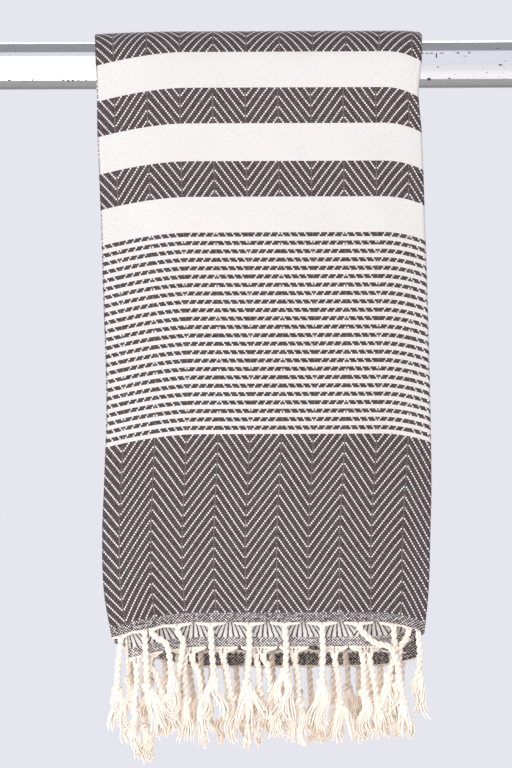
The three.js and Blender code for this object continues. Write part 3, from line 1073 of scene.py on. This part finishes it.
def over_rail_points(angle, share, turn, offset):
    """Points of the cloth that lies on the rail. angle runs from the front over the top."""
    height = OUTER_RADIUS * np.sin(angle)
    front = section_point("front", -height, share, turn)
    back = section_point("back", -height, share, turn)
    x, radius, face_x, face_out = (
        np.where(angle < math.pi / 2, first, second) for first, second in zip(front, back)
    )
    reach = radius + offset * face_out + TOP_LIFT * np.sin(angle) ** 2 * (face_out + 1) / 2
    return np.stack(
        [x + offset * face_x, -reach * np.cos(angle), reach * np.sin(angle)], axis=-1
    )


def hem_ends(side, layer):
    """Where a layer's hem starts and ends across."""
    below = np.full(1, float(DROP[side][layer]))
    turn = np.full(1, math.pi * layer)
    return [section_point(side, below, share, turn)[0][0] for share in (np.zeros(1), np.ones(1))]


def hem_point(side, layer, x, height):
    """The point of a layer's hem at x."""
    start, end = hem_ends(side, layer)
    share = np.array([(x - start) / (end - start)])
    turn = np.full(1, math.pi * layer)
    below = hem_depth(side, share, turn)
    waves = ripple(side, np.array([x]), below, height)
    return hanging_points(side, below, share, turn, 0.0, waves)[0]


# ------------------------------------------------------------------ towel


def section_stations():
    """Shares and turns from the outer selvedge round the fold to the inner one, closer together
    by the edges."""
    even = np.linspace(0, 1, LAYER_POINTS)
    bunched = even - 0.25 * np.sin(math.tau * even) / math.tau
    fold = np.linspace(0, math.pi, FOLD_POINTS)[1:-1]
    share = np.concatenate([bunched, np.ones_like(fold), bunched[::-1]])
    turn = np.concatenate([np.zeros(LAYER_POINTS), fold, np.full(LAYER_POINTS, math.pi)])
    return share, turn


def hem_necks(side, layer):
    """Where a layer's cords have their necks, from left to right."""
    pieces = [piece for piece in FRINGES.values() if piece[1:3] == (side, layer)]
    return sorted(cord[0] for piece in pieces for cord in piece[3])


def hem_notches(side, layer, x):
    """How far the hem is drawn up between neighbouring cords."""
    total = np.zeros_like(x)
    necks = hem_necks(side, layer)
    for first, second in zip(necks, necks[1:]):
        if second - first > NOTCH_GAP:
            middle = (first + second) / 2
            total += NOTCH_DEPTH * np.exp(-(((x - middle) / NOTCH_WIDTH) ** 2))
    return total


def towel_grid(cloth):
    """Points of the towel's face and reverse by row and station, and their flat places."""
    share, turn = section_stations()
    layer_mix = turn / math.pi
    length = cloth.flat_length / MM
    height = cloth.ripple / MM
    half = cloth.thickness / MM / 2
    rows = []
    along = []
    fold_flat = []

    def lies_on_fold(side, below):
        table = np.array(FOLD_FLAT[side], float)
        return np.interp(below, table[:, 0], table[:, 1])

    def hang(side, below, hem, flat_place):
        """Adds a row of the hanging cloth."""
        x = section_point(side, below, share, turn)[0]
        waves = ripple(side, x, below, height)
        outer = hem_notches(side, 0, x) * (layer_mix < 0.01)
        inner = hem_notches(side, 1, x) * (layer_mix > 0.99)
        trimmed = below - (outer + inner) * edge_fade(hem - below, NOTCH_HEIGHT, 2)
        rows.append(
            [hanging_points(side, trimmed, share, turn, o, waves) for o in (half, -half)]
        )
        along.append(flat_place)
        fold_flat.append(lies_on_fold(side, below))

    near_hem = np.array(NEAR_HEM)
    front_hem = hem_depth("front", share, turn)
    for part in np.concatenate([near_hem, np.linspace(0.02, 1, 68)[:-1]]):
        below = front_hem * (1 - part)
        hang("front", below, front_hem, weft_height(share, turn, below) - below)
    top_front = weft_height(share, turn, np.zeros_like(share))
    for angle in np.linspace(0, math.pi, TOP_POINTS):
        full = np.full_like(share, angle)
        rows.append([over_rail_points(full, share, turn, o) for o in (half, -half)])
        along.append(top_front + OUTER_RADIUS * angle)
        side = "front" if angle < math.pi / 2 else "back"
        fold_flat.append(lies_on_fold(side, -OUTER_RADIUS * np.sin(full)))
    top_back = top_front + OUTER_RADIUS * math.pi
    back_hem = hem_depth("back", share, turn)
    for part in np.concatenate([np.linspace(0, 0.98, 66)[1:], 1 - near_hem[::-1]]):
        hang("back", back_hem * part, back_hem, top_back + (length - top_back) * part)
    face = np.array([row[0] for row in rows])
    reverse = np.array([row[1] for row in rows])
    half_fold = math.pi * FOLD_BEND / 2
    width = cloth.flat_width / MM
    fold_flat = np.array(fold_flat)
    outer = (fold_flat - half_fold) * share + 2 * half_fold * layer_mix
    inner = width - (width - fold_flat - half_fold) * share
    across = np.where(layer_mix > 0.99, inner, outer)
    return face, reverse, np.stack([across, np.array(along)], axis=-1)


def towel_mesh(cloth):
    face, reverse, flat = towel_grid(cloth)
    rows, lines = flat.shape[:2]
    middle = (face + reverse) / 2
    for side in (face, reverse):
        for rim in (np.s_[0, :], np.s_[-1, :], np.s_[:, 0], np.s_[:, -1]):
            side[rim] = middle[rim] + (side[rim] - middle[rim]) * EDGE_THICKNESS
    points = np.concatenate([face.reshape(-1, 3), reverse.reshape(-1, 3)]) * MM
    index = np.arange(rows * lines).reshape(rows, lines)
    under = index + rows * lines
    a, b, c, d = index[:-1, :-1], index[:-1, 1:], index[1:, 1:], index[1:, :-1]
    face_quads = np.stack([a, b, c, d], axis=-1).reshape(-1, 4)
    a, b, c, d = under[:-1, :-1], under[1:, :-1], under[1:, 1:], under[:-1, 1:]
    reverse_quads = np.stack([a, b, c, d], axis=-1).reshape(-1, 4)
    rims = []
    for top, bottom in (
        (index[:, 0], under[:, 0]),
        (index[::-1, -1], under[::-1, -1]),
        (index[0, ::-1], under[0, ::-1]),
        (index[-1, :], under[-1, :]),
    ):
        rims.append(np.stack([top[:-1], top[1:], bottom[1:], bottom[:-1]], axis=-1))
    quads = np.concatenate([face_quads, reverse_quads, *rims])
    mesh = mesh_from("towel_cloth", points, quads.tolist())
    uv = np.tile(flat.reshape(-1, 2), (2, 1)) * MM
    layer = mesh.uv_layers.new(name="flat")
    layer.data.foreach_set("uv", uv[quads.reshape(-1)].reshape(-1))
    sides = np.zeros(len(quads), int)
    sides[len(face_quads) : len(face_quads) + len(reverse_quads)] = 1
    mesh.polygons.foreach_set("material_index", sides.tolist())
    smooth_but_sharp(mesh, 60)
    return mesh


# ------------------------------------------------------------------ fringes


def smooth_way(points, step):
    """Evenly spaced points on a smooth line through the given ones."""
    points = np.array(points, float)
    ends = np.concatenate([[2 * points[0] - points[1]], points, [2 * points[-1] - points[-2]]])
    dense = []
    for p0, p1, p2, p3 in zip(ends, ends[1:], ends[2:], ends[3:]):
        t = np.linspace(0, 1, 16, endpoint=False)[:, None]
        dense.append(
            0.5
            * (
                2 * p1
                + (p2 - p0) * t
                + (2 * p0 - 5 * p1 + 4 * p2 - p3) * t**2
                + (3 * p1 - p0 - 3 * p2 + p3) * t**3
            )
        )
    dense = np.concatenate([*dense, points[-1:]])
    run = np.concatenate([[0], np.cumsum(np.linalg.norm(np.diff(dense, axis=0), axis=1))])
    count = max(int(run[-1] / step), 3)
    at = np.linspace(0, run[-1], count + 1)
    return np.stack([np.interp(at, run, dense[:, axis]) for axis in range(3)], axis=1), at


def side_directions(way):
    """Two directions square to a way that mostly runs down."""
    along = np.gradient(way, axis=0)
    along /= np.linalg.norm(along, axis=1)[:, None]
    right = np.cross(along, (0.0, 1.0, 0.0))
    right /= np.linalg.norm(right, axis=1)[:, None]
    return right, np.cross(along, right)


def around(way, angle, radius):
    """A line that winds about a way at an angle and radius for each of its points."""
    right, front = side_directions(way)
    radius = np.broadcast_to(radius, angle.shape)[:, None]
    return way + radius * (np.cos(angle)[:, None] * right + np.sin(angle)[:, None] * front)


class YarnBook:
    """Collects yarns as lines with a radius and a tone at each point."""

    def __init__(self):
        self.points = []
        self.radii = []
        self.tones = []
        self.edges = []

    def add(self, line, radius, tone):
        start = len(self.points)
        count = len(line)
        self.points.extend(tuple(point * MM) for point in line)
        self.radii.extend(float(r) * MM for r in np.broadcast_to(radius, (count,)))
        self.tones.extend(float(t) for t in np.broadcast_to(tone, (count,)))
        self.edges.extend((start + i, start + i + 1) for i in range(count - 1))

    def mesh(self, name):
        mesh = bpy.data.meshes.new(name)
        mesh.from_pydata(self.points, self.edges, [])
        for label, values in (("yarn_radius", self.radii), ("tone", self.tones)):
            attribute = mesh.attributes.new(label, "FLOAT", "POINT")
            attribute.data.foreach_set("value", values)
        return mesh


def gather_gaps(side, layer, neck):
    """How much hem a cord has to gather on its left and its right."""
    necks = hem_necks(side, layer)
    at = necks.index(neck)
    left = neck - necks[at - 1] if at else FREE_GAP
    right = necks[at + 1] - neck if at + 1 < len(necks) else FREE_GAP
    start, end = hem_ends(side, layer)
    return (
        min(left / 2 - BARE_GAP, neck - start - FIRST_END),
        min(right / 2 - BARE_GAP, end - neck - FIRST_END),
    )


def add_gather(book, rng, fringe, side, layer, neck_x, neck, gaps, tone, height):
    """Warp ends that leave the hem on both sides of a cord and draw together at its neck."""
    out = -1 if side == "front" else 1
    for toward, gap in zip((-1, 1), gaps):
        reach = min(fringe.gather / MM, gap)
        for start in np.arange(FIRST_END, reach, END_STEP):
            root = hem_point(side, layer, neck_x + toward * start, height)
            lift = rng.uniform(0.1, 1.3)
            share = start / (fringe.gather / MM)
            stack = 1.5 - 2.6 * share + rng.uniform(-0.4, 0.4)
            if side == "front" and layer == 1:
                finger = (start // FINGER_STEP + 0.5) * FINGER_STEP
                beside = toward * 0.92 * (finger - start)
                rise = 5.0 * finger / reach - 1.4
                bend = root * 0.72 + neck * 0.28 + (beside, out * 0.6, -0.6)
                entry = neck + (toward * 2.2, out * 0.8, rise)
            else:
                bend = (root + neck) / 2 + (0, out * lift, 0.6 + 0.5 * stack)
                entry = neck + (toward * 1.2, out * lift, 0.5 + 0.6 * stack)
            way = [
                root + (0, 0, 0.9),
                root + (0, out * 0.5, -0.5),
                bend,
                entry,
                neck + (toward * 0.4, out * 0.4, -3.2),
            ]
            line = smooth_way(way, 1.3)[0]
            radius = fringe.yarn_radius / MM * rng.uniform(0.95, 1.15)
            # The gathered ends take less of their cord's painted warm shade, so they stay lighter.
            book.add(line, radius * np.linspace(0.85, 1.15, len(line)), tone * 0.3)


def add_rope(book, rng, fringe, way_points, tone):
    """Two plies of yarns, each twisted one way and laid together the other way."""
    lay = fringe.lay / MM
    way, run = smooth_way(way_points, lay / 13)
    phase = rng.uniform(0, math.tau)
    settle = 0.75 + 0.25 * smooth_step(run, 0, 4)
    for ply in (0, math.pi):
        middle = around(way, phase + ply + math.tau * run / lay, fringe.ply_radius / MM * settle)
        shade = tone + rng.uniform(-0.08, 0.08)
        for yarn in range(PLY_YARNS):
            angle = math.tau * yarn / PLY_YARNS - math.tau * run / (lay * 0.62) + ply
            line = around(middle, angle, PLY_REACH)
            book.add(line, fringe.yarn_radius / MM, np.clip(shade, 0, 1))
    return way[-1], way[-1] - way[-4]


def add_knot(book, rng, fringe, centre, size, tone):
    """A knot: a thick bundle that passes over and under itself, pulled tight."""
    t = np.linspace(0, math.tau, 42)
    spin = rng.uniform(0, math.tau)
    tilt = rng.uniform(-0.3, 0.3)
    loop = fringe.knot_radius / MM * size
    reach = loop * (1 + 0.55 * np.cos(3 * t))
    way = np.stack(
        [
            reach * np.cos(2 * t + spin),
            reach * np.sin(2 * t + spin),
            loop * 1.05 * np.sin(3 * t),
        ],
        axis=1,
    )
    way[:, 2] += tilt * way[:, 0]
    way += centre
    along = np.gradient(way, axis=0)
    along /= np.linalg.norm(along, axis=1)[:, None]
    right = np.cross(along, way - centre)
    right /= np.linalg.norm(right, axis=1)[:, None]
    front = np.cross(along, right)
    for yarn in range(KNOT_YARNS):
        turn = math.tau * yarn / KNOT_YARNS + 2 * t
        offset = np.cos(turn)[:, None] * right + np.sin(turn)[:, None] * front
        radius = fringe.yarn_radius / MM * KNOT_SWELL * size
        book.add(way + KNOT_REACH * size * offset, radius, tone)


def add_tuft(book, rng, fringe, start, end, strands, tone):
    """A lock of soft, untwisted yarn ends below a knot."""
    bend = rng.uniform(-3.0, 3.0, 3) * (1, 0.6, 0)
    curl = rng.uniform(-2.6, 2.6, 3) * (1, 0.6, 0)
    points = [
        start,
        start + (end - start) * 0.33 + bend,
        start + (end - start) * 0.68 - bend * 0.7 + curl,
        end,
    ]
    way = smooth_way(points, 2.4)[0]
    share = np.linspace(0, 1, len(way))
    spin = rng.uniform(0, math.tau)
    count = round(strands * TUFT_YARNS)
    for strand in range(count):
        spread = TUFT_REACH * math.sqrt((strand + 0.5) / count) * (0.75 + 0.5 * share)
        angle = spin + 2.4 * strand + (2.2 - 1.5 * share) * share * 3
        line = around(way, angle, spread)
        wave = np.sin(share * rng.uniform(5, 10) + rng.uniform(0, math.tau))
        line[:, 0] += wave * share * rng.uniform(0.2, 1.0) + rng.uniform(-1, 1) * share**3 * 1.6
        cut = len(line) - int(rng.integers(0, 4))
        radius = fringe.yarn_radius / MM * (1.15 - 0.5 * share**2)
        shade = np.clip(tone + rng.uniform(-0.12, 0.12), 0, 1)
        book.add(line[:cut], radius[:cut], shade)


def add_cord(book, rng, fringe, side, layer, cord, gaps, height):
    """One cord of a fringe: its gathered ends, rope, knot and tufts."""
    neck_x, ways, knot_size, ends = cord
    out = -1 if side == "front" else 1
    hem = hem_point(side, layer, neck_x, height)
    drop = LOW_NECK_DROP if side == "front" and layer == 1 else NECK_DROP
    neck = hem + (0, out * 0.9, -drop)
    # The cord's tone: painted warm shade by side and layer, plus a little random warmth.
    tone = YARN_SHADE_WARMTH[side] + INNER_SHADE_WARMTH * layer + rng.uniform(0, 0.1)
    add_gather(book, rng, fringe, side, layer, neck_x, neck, gaps, tone, height)
    way = [neck + (0, 0, 1.0), neck + (ways[0][0] * 0.3, out * 0.5, -ways[0][1] * 0.35)]
    for across, down in ways:
        way.append(hem + (across, out * rng.uniform(0.2, 1.8), -down))
    end, direction = add_rope(book, rng, fringe, way, tone)
    centre = end + direction / np.linalg.norm(direction) * KNOT_DROP
    add_knot(book, rng, fringe, centre, knot_size, tone)
    for across, down, strands in ends:
        if side == "back":
            across *= BACK_TUFT_WIDTH
            strands = round(strands * BACK_TUFT_YARNS)
        across += rng.uniform(-TUFT_STRAY, TUFT_STRAY)
        tip = centre + (across, out * rng.uniform(-1.5, 2.5), -down * TUFT_DROP)
        top = centre + (0.1 * across, 0, -1.2)
        add_tuft(book, rng, fringe, top, tip, strands, tone)


def yarn_tubes_tree():
    """Turns lines into yarn: tubes of the stored radius, with a slightly wandering surface."""
    tree, graph, inputs, outputs = new_group(
        "yarn_tubes",
        (
            ("Geometry", "NodeSocketGeometry", None),
            ("Sides", "NodeSocketInt", 5),
            ("Thickness", FLOAT, 1.0),
            ("Fuzz", FLOAT, 0.0001),
            ("Fuzz Scale", FLOAT, 400.0),
            ("Seed", FLOAT, 0.0),
            ("Yarn", "NodeSocketMaterial", None),
        ),
        (("Geometry", "NodeSocketGeometry"),),
        "GeometryNodeTree",
    )

    def store(geometry, name, value, kind):
        stored = {"Geometry": geometry, "Name": name, "Value": value}
        return graph.add("GeometryNodeStoreNamedAttribute", stored, data_type=kind)

    run = graph.add("GeometryNodeSplineParameter", output="Length")
    curve = graph.add("GeometryNodeMeshToCurve", {"Mesh": inputs["Geometry"]})
    curve = store(curve, "along", run, "FLOAT")
    circle = {"Resolution": inputs["Sides"], "Radius": 1.0}
    profile = graph.add("GeometryNodeCurvePrimitiveCircle", circle, "Curve")
    place = graph.add("GeometryNodeInputPosition")
    profile = store(profile, "rim", place, "FLOAT_VECTOR")
    radius = graph.add("GeometryNodeInputNamedAttribute", {"Name": "yarn_radius"}, "Attribute")
    scale = radius * inputs["Thickness"]
    sweep = {"Curve": curve, "Profile Curve": profile, "Scale": scale, "Fill Caps": True}
    tubes = graph.add("GeometryNodeCurveToMesh", sweep)
    wander = {"Vector": place, "W": inputs["Seed"], "Scale": inputs["Fuzz Scale"]}
    wander = graph.add("ShaderNodeTexNoise", wander, "Color", noise_dimensions="4D")
    centred = {0: wander, 1: (0.5, 0.5, 0.5)}
    centred = graph.add("ShaderNodeVectorMath", centred, operation="SUBTRACT")
    moved = {"Geometry": tubes, "Offset": graph.scale(centred, inputs["Fuzz"])}
    tubes = graph.add("GeometryNodeSetPosition", moved)
    tubes = graph.add("GeometryNodeSetShadeSmooth", {"Geometry": tubes})
    tubes = graph.add("GeometryNodeRealizeInstances", {"Geometry": tubes})
    painted = {"Geometry": tubes, "Material": inputs["Yarn"]}
    graph.feed(outputs["Geometry"], graph.add("GeometryNodeSetMaterial", painted))
    return tree


def tubes_from_lines(name, lines, tree, values):
    """Runs the yarn tree on a mesh of lines and keeps the result as a plain mesh."""
    holder = bpy.data.objects.new(name + "_lines", lines)
    bpy.context.scene.collection.objects.link(holder)
    modifier = holder.modifiers.new("yarn_tubes", "NODES")
    modifier.node_group = tree
    for item in tree.interface.items_tree:
        if item.in_out == "INPUT" and item.name in values:
            modifier[item.identifier] = values[item.name]
    graph = bpy.context.evaluated_depsgraph_get()
    mesh = bpy.data.meshes.new_from_object(holder.evaluated_get(graph), depsgraph=graph)
    mesh.name = name
    holder.modifiers.remove(modifier)
    bpy.data.objects.remove(holder)
    bpy.data.meshes.remove(lines)
    if not mesh.polygons:
        raise RuntimeError(name + ": the yarn tree made no faces")
    return mesh


# ------------------------------------------------------------------ rail


def rail_mesh(rail):
    """A tube with chamfered ends, turned about the rail's axis."""
    end = rail.length / 2
    outer = rail.radius
    inner = outer - rail.wall
    cut = rail.chamfer
    half = [
        (0.0, inner),
        (end - cut, inner),
        (end, inner + cut),
        (end, outer - cut),
        (end - cut, outer),
        (0.0, outer),
    ]
    profile = half + [(-x, r) for x, r in half[1:-1][::-1]]
    turns = np.linspace(0, math.tau, rail.sides, endpoint=False)
    points = [
        (x, r * math.cos(turn), r * math.sin(turn)) for turn in turns for x, r in profile
    ]
    count = len(profile)
    faces = []
    for side in range(rail.sides):
        here = side * count
        there = (side + 1) % rail.sides * count
        for step in range(count):
            after = (step + 1) % count
            faces.append((here + step, here + after, there + after, there + step))
    mesh = mesh_from("rail_tube", points, faces)
    middle = outer - rail.wall / 2
    for face in mesh.polygons:
        face.material_index = int(math.hypot(face.center.y, face.center.z) < middle)
    smooth_but_sharp(mesh, 30)
    return mesh


# ------------------------------------------------------------------ operators


class TOWEL_OT_stage(bpy.types.Operator):
    """Set up the camera, the floor, the lights and the surroundings"""

    bl_idname = "hammam.stage"
    bl_label = "Build Stage"

    def execute(self, context):
        stage = context.scene.hammam_stage
        scene = context.scene
        camera = bpy.data.cameras.new("camera")
        camera.lens = stage.lens
        camera.sensor_fit = "VERTICAL"
        camera.sensor_width = SENSOR
        camera.sensor_height = SENSOR
        holder = bpy.data.objects.new("camera", camera)
        holder.location = (stage.camera_across, -stage.camera_distance, stage.camera_height)
        holder.rotation_euler = (math.pi / 2, stage.camera_roll, 0)
        scene.collection.objects.link(holder)
        scene.camera = holder
        scene.view_settings.view_transform = "Standard"
        scene.cycles.denoising_prefilter = "NONE"
        lamps = {}
        for name, (place, aim, size, power) in SOFTBOXES.items():
            lamps[name] = self.light(scene, name, place, aim, size, getattr(stage, power))
        lamps["back_softbox"].data.spread = BACK_SPREAD
        lamps["top_softbox"].visible_glossy = False
        self.surround(scene, stage)
        self.floor(stage)
        return {"FINISHED"}

    def light(self, scene, name, place, aim, size, power):
        lamp = bpy.data.lights.new(name, "AREA")
        lamp.shape = "RECTANGLE"
        lamp.size = size[0]
        lamp.size_y = size[1]
        lamp.energy = power
        holder = bpy.data.objects.new(name, lamp)
        holder.location = place
        toward = Vector(aim) - holder.location
        holder.rotation_euler = toward.to_track_quat("-Z", "Y").to_euler()
        holder.visible_camera = False
        scene.collection.objects.link(holder)
        return holder

    def surround(self, scene, stage):
        world = bpy.data.worlds.new("surround")
        world.use_nodes = True
        graph = Graph(world.node_tree)
        _, y, z = graph.split(graph.add("ShaderNodeTexCoord", output="Generated"))
        overhead = graph.smooth(z, 0.42, 0.6)
        colour = graph.blend(overhead, rgba(stage.surround), rgba(stage.ceiling))
        forward = graph.smooth(y * -1.0, 0.3, 0.38)
        colour = graph.blend(forward, colour, rgba(stage.front))
        shade = world.node_tree.nodes["Background"]
        graph.feed(shade.inputs["Color"], colour)
        scene.world = world

    def floor(self, stage):
        turns = np.linspace(0, math.tau, FLOOR_SIDES, endpoint=False)
        radius = stage.floor_radius
        points = [
            (radius * math.cos(turn), radius * math.sin(turn), stage.floor_height)
            for turn in turns
        ]
        mesh = mesh_from("floor", points, [list(range(FLOOR_SIDES))])
        floor = new_object("floor", mesh, [floor_material(stage)])


class TOWEL_OT_rail(bpy.types.Operator):
    """Build the steel tube that the towel hangs on"""

    bl_idname = "hammam.rail"
    bl_label = "Build Rail"

    def execute(self, context):
        rail = context.scene.hammam_rail
        finishes = [steel_material(rail), bore_material(rail)]
        piece = new_object("rail_tube", rail_mesh(rail), finishes)
        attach(piece, "root")
        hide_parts("rail")
        return {"FINISHED"}


class TOWEL_OT_fringes(bpy.types.Operator):
    """Build the four knotted fringes from gathered, plied and knotted warp ends"""

    bl_idname = "hammam.fringes"
    bl_label = "Build Fringes"

    def execute(self, context):
        fringe = context.scene.hammam_fringe
        cloth = context.scene.hammam_cloth
        material = yarn_material(fringe, shader_groups(cloth))
        tree = yarn_tubes_tree()
        for number, (name, (node, side, layer, cords)) in enumerate(FRINGES.items()):
            rng = np.random.default_rng(fringe.seed + number)
            book = YarnBook()
            for cord in cords:
                gaps = gather_gaps(side, layer, cord[0])
                add_cord(book, rng, fringe, side, layer, cord, gaps, cloth.ripple / MM)
            values = {
                "Sides": fringe.sides,
                "Thickness": 1.0,
                "Fuzz": fringe.fuzz,
                "Fuzz Scale": 420.0,
                "Seed": float(fringe.seed + number),
                "Yarn": material,
            }
            mesh = tubes_from_lines(name, book.mesh(name), tree, values)
            piece = new_object(name, mesh, [])
            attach(piece, "root")
            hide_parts(node)
        return {"FINISHED"}


class TOWEL_OT_towel(bpy.types.Operator):
    bl_idname = "hammam.towel"
    bl_label = "Build Towel"

    def execute(self, context):
        cloth = context.scene.hammam_cloth
        groups = shader_groups(cloth)
        face = cloth_material("woven_face", cloth, groups, 0.0)
        reverse = cloth_material("woven_reverse", cloth, groups, 1.0)
        piece = new_object("towel_cloth", towel_mesh(cloth), [face, reverse])
        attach(piece, "root")
        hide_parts("towel")
        return {"FINISHED"}


class TOWEL_PT_panel(bpy.types.Panel):
    """The towel's builders, in the sidebar"""

    bl_idname = "TOWEL_PT_panel"
    bl_label = "Hammam Towel"
    bl_space_type = "VIEW_3D"
    bl_region_type = "UI"
    bl_category = "Towel"

    def draw(self, context):
        for operator, settings in BUILDERS:
            box = self.layout.box()
            box.operator(operator.bl_idname)
            group = getattr(context.scene, settings)
            for name in group.__annotations__:
                box.prop(group, name)


BUILDERS = (
    (TOWEL_OT_stage, "hammam_stage"),
    (TOWEL_OT_rail, "hammam_rail"),
    (TOWEL_OT_fringes, "hammam_fringe"),
    (TOWEL_OT_towel, "hammam_cloth"),
)

SETTINGS = {
    "hammam_stage": StageSettings,
    "hammam_rail": RailSettings,
    "hammam_fringe": FringeSettings,
    "hammam_cloth": ClothSettings,
}


def register():
    for name, group in SETTINGS.items():
        bpy.utils.register_class(group)
        setattr(bpy.types.Scene, name, bpy.props.PointerProperty(type=group))
    for operator, _ in BUILDERS:
        bpy.utils.register_class(operator)
    bpy.utils.register_class(TOWEL_PT_panel)


def unregister():
    bpy.utils.unregister_class(TOWEL_PT_panel)
    for operator, _ in reversed(BUILDERS):
        bpy.utils.unregister_class(operator)
    for name, group in SETTINGS.items():
        delattr(bpy.types.Scene, name)
        bpy.utils.unregister_class(group)


def main():
    register()
    bpy.ops.hammam.stage()
    bpy.ops.hammam.rail()
    bpy.ops.hammam.fringes()
    bpy.ops.hammam.towel()


if __name__ == "__main__":
    main()
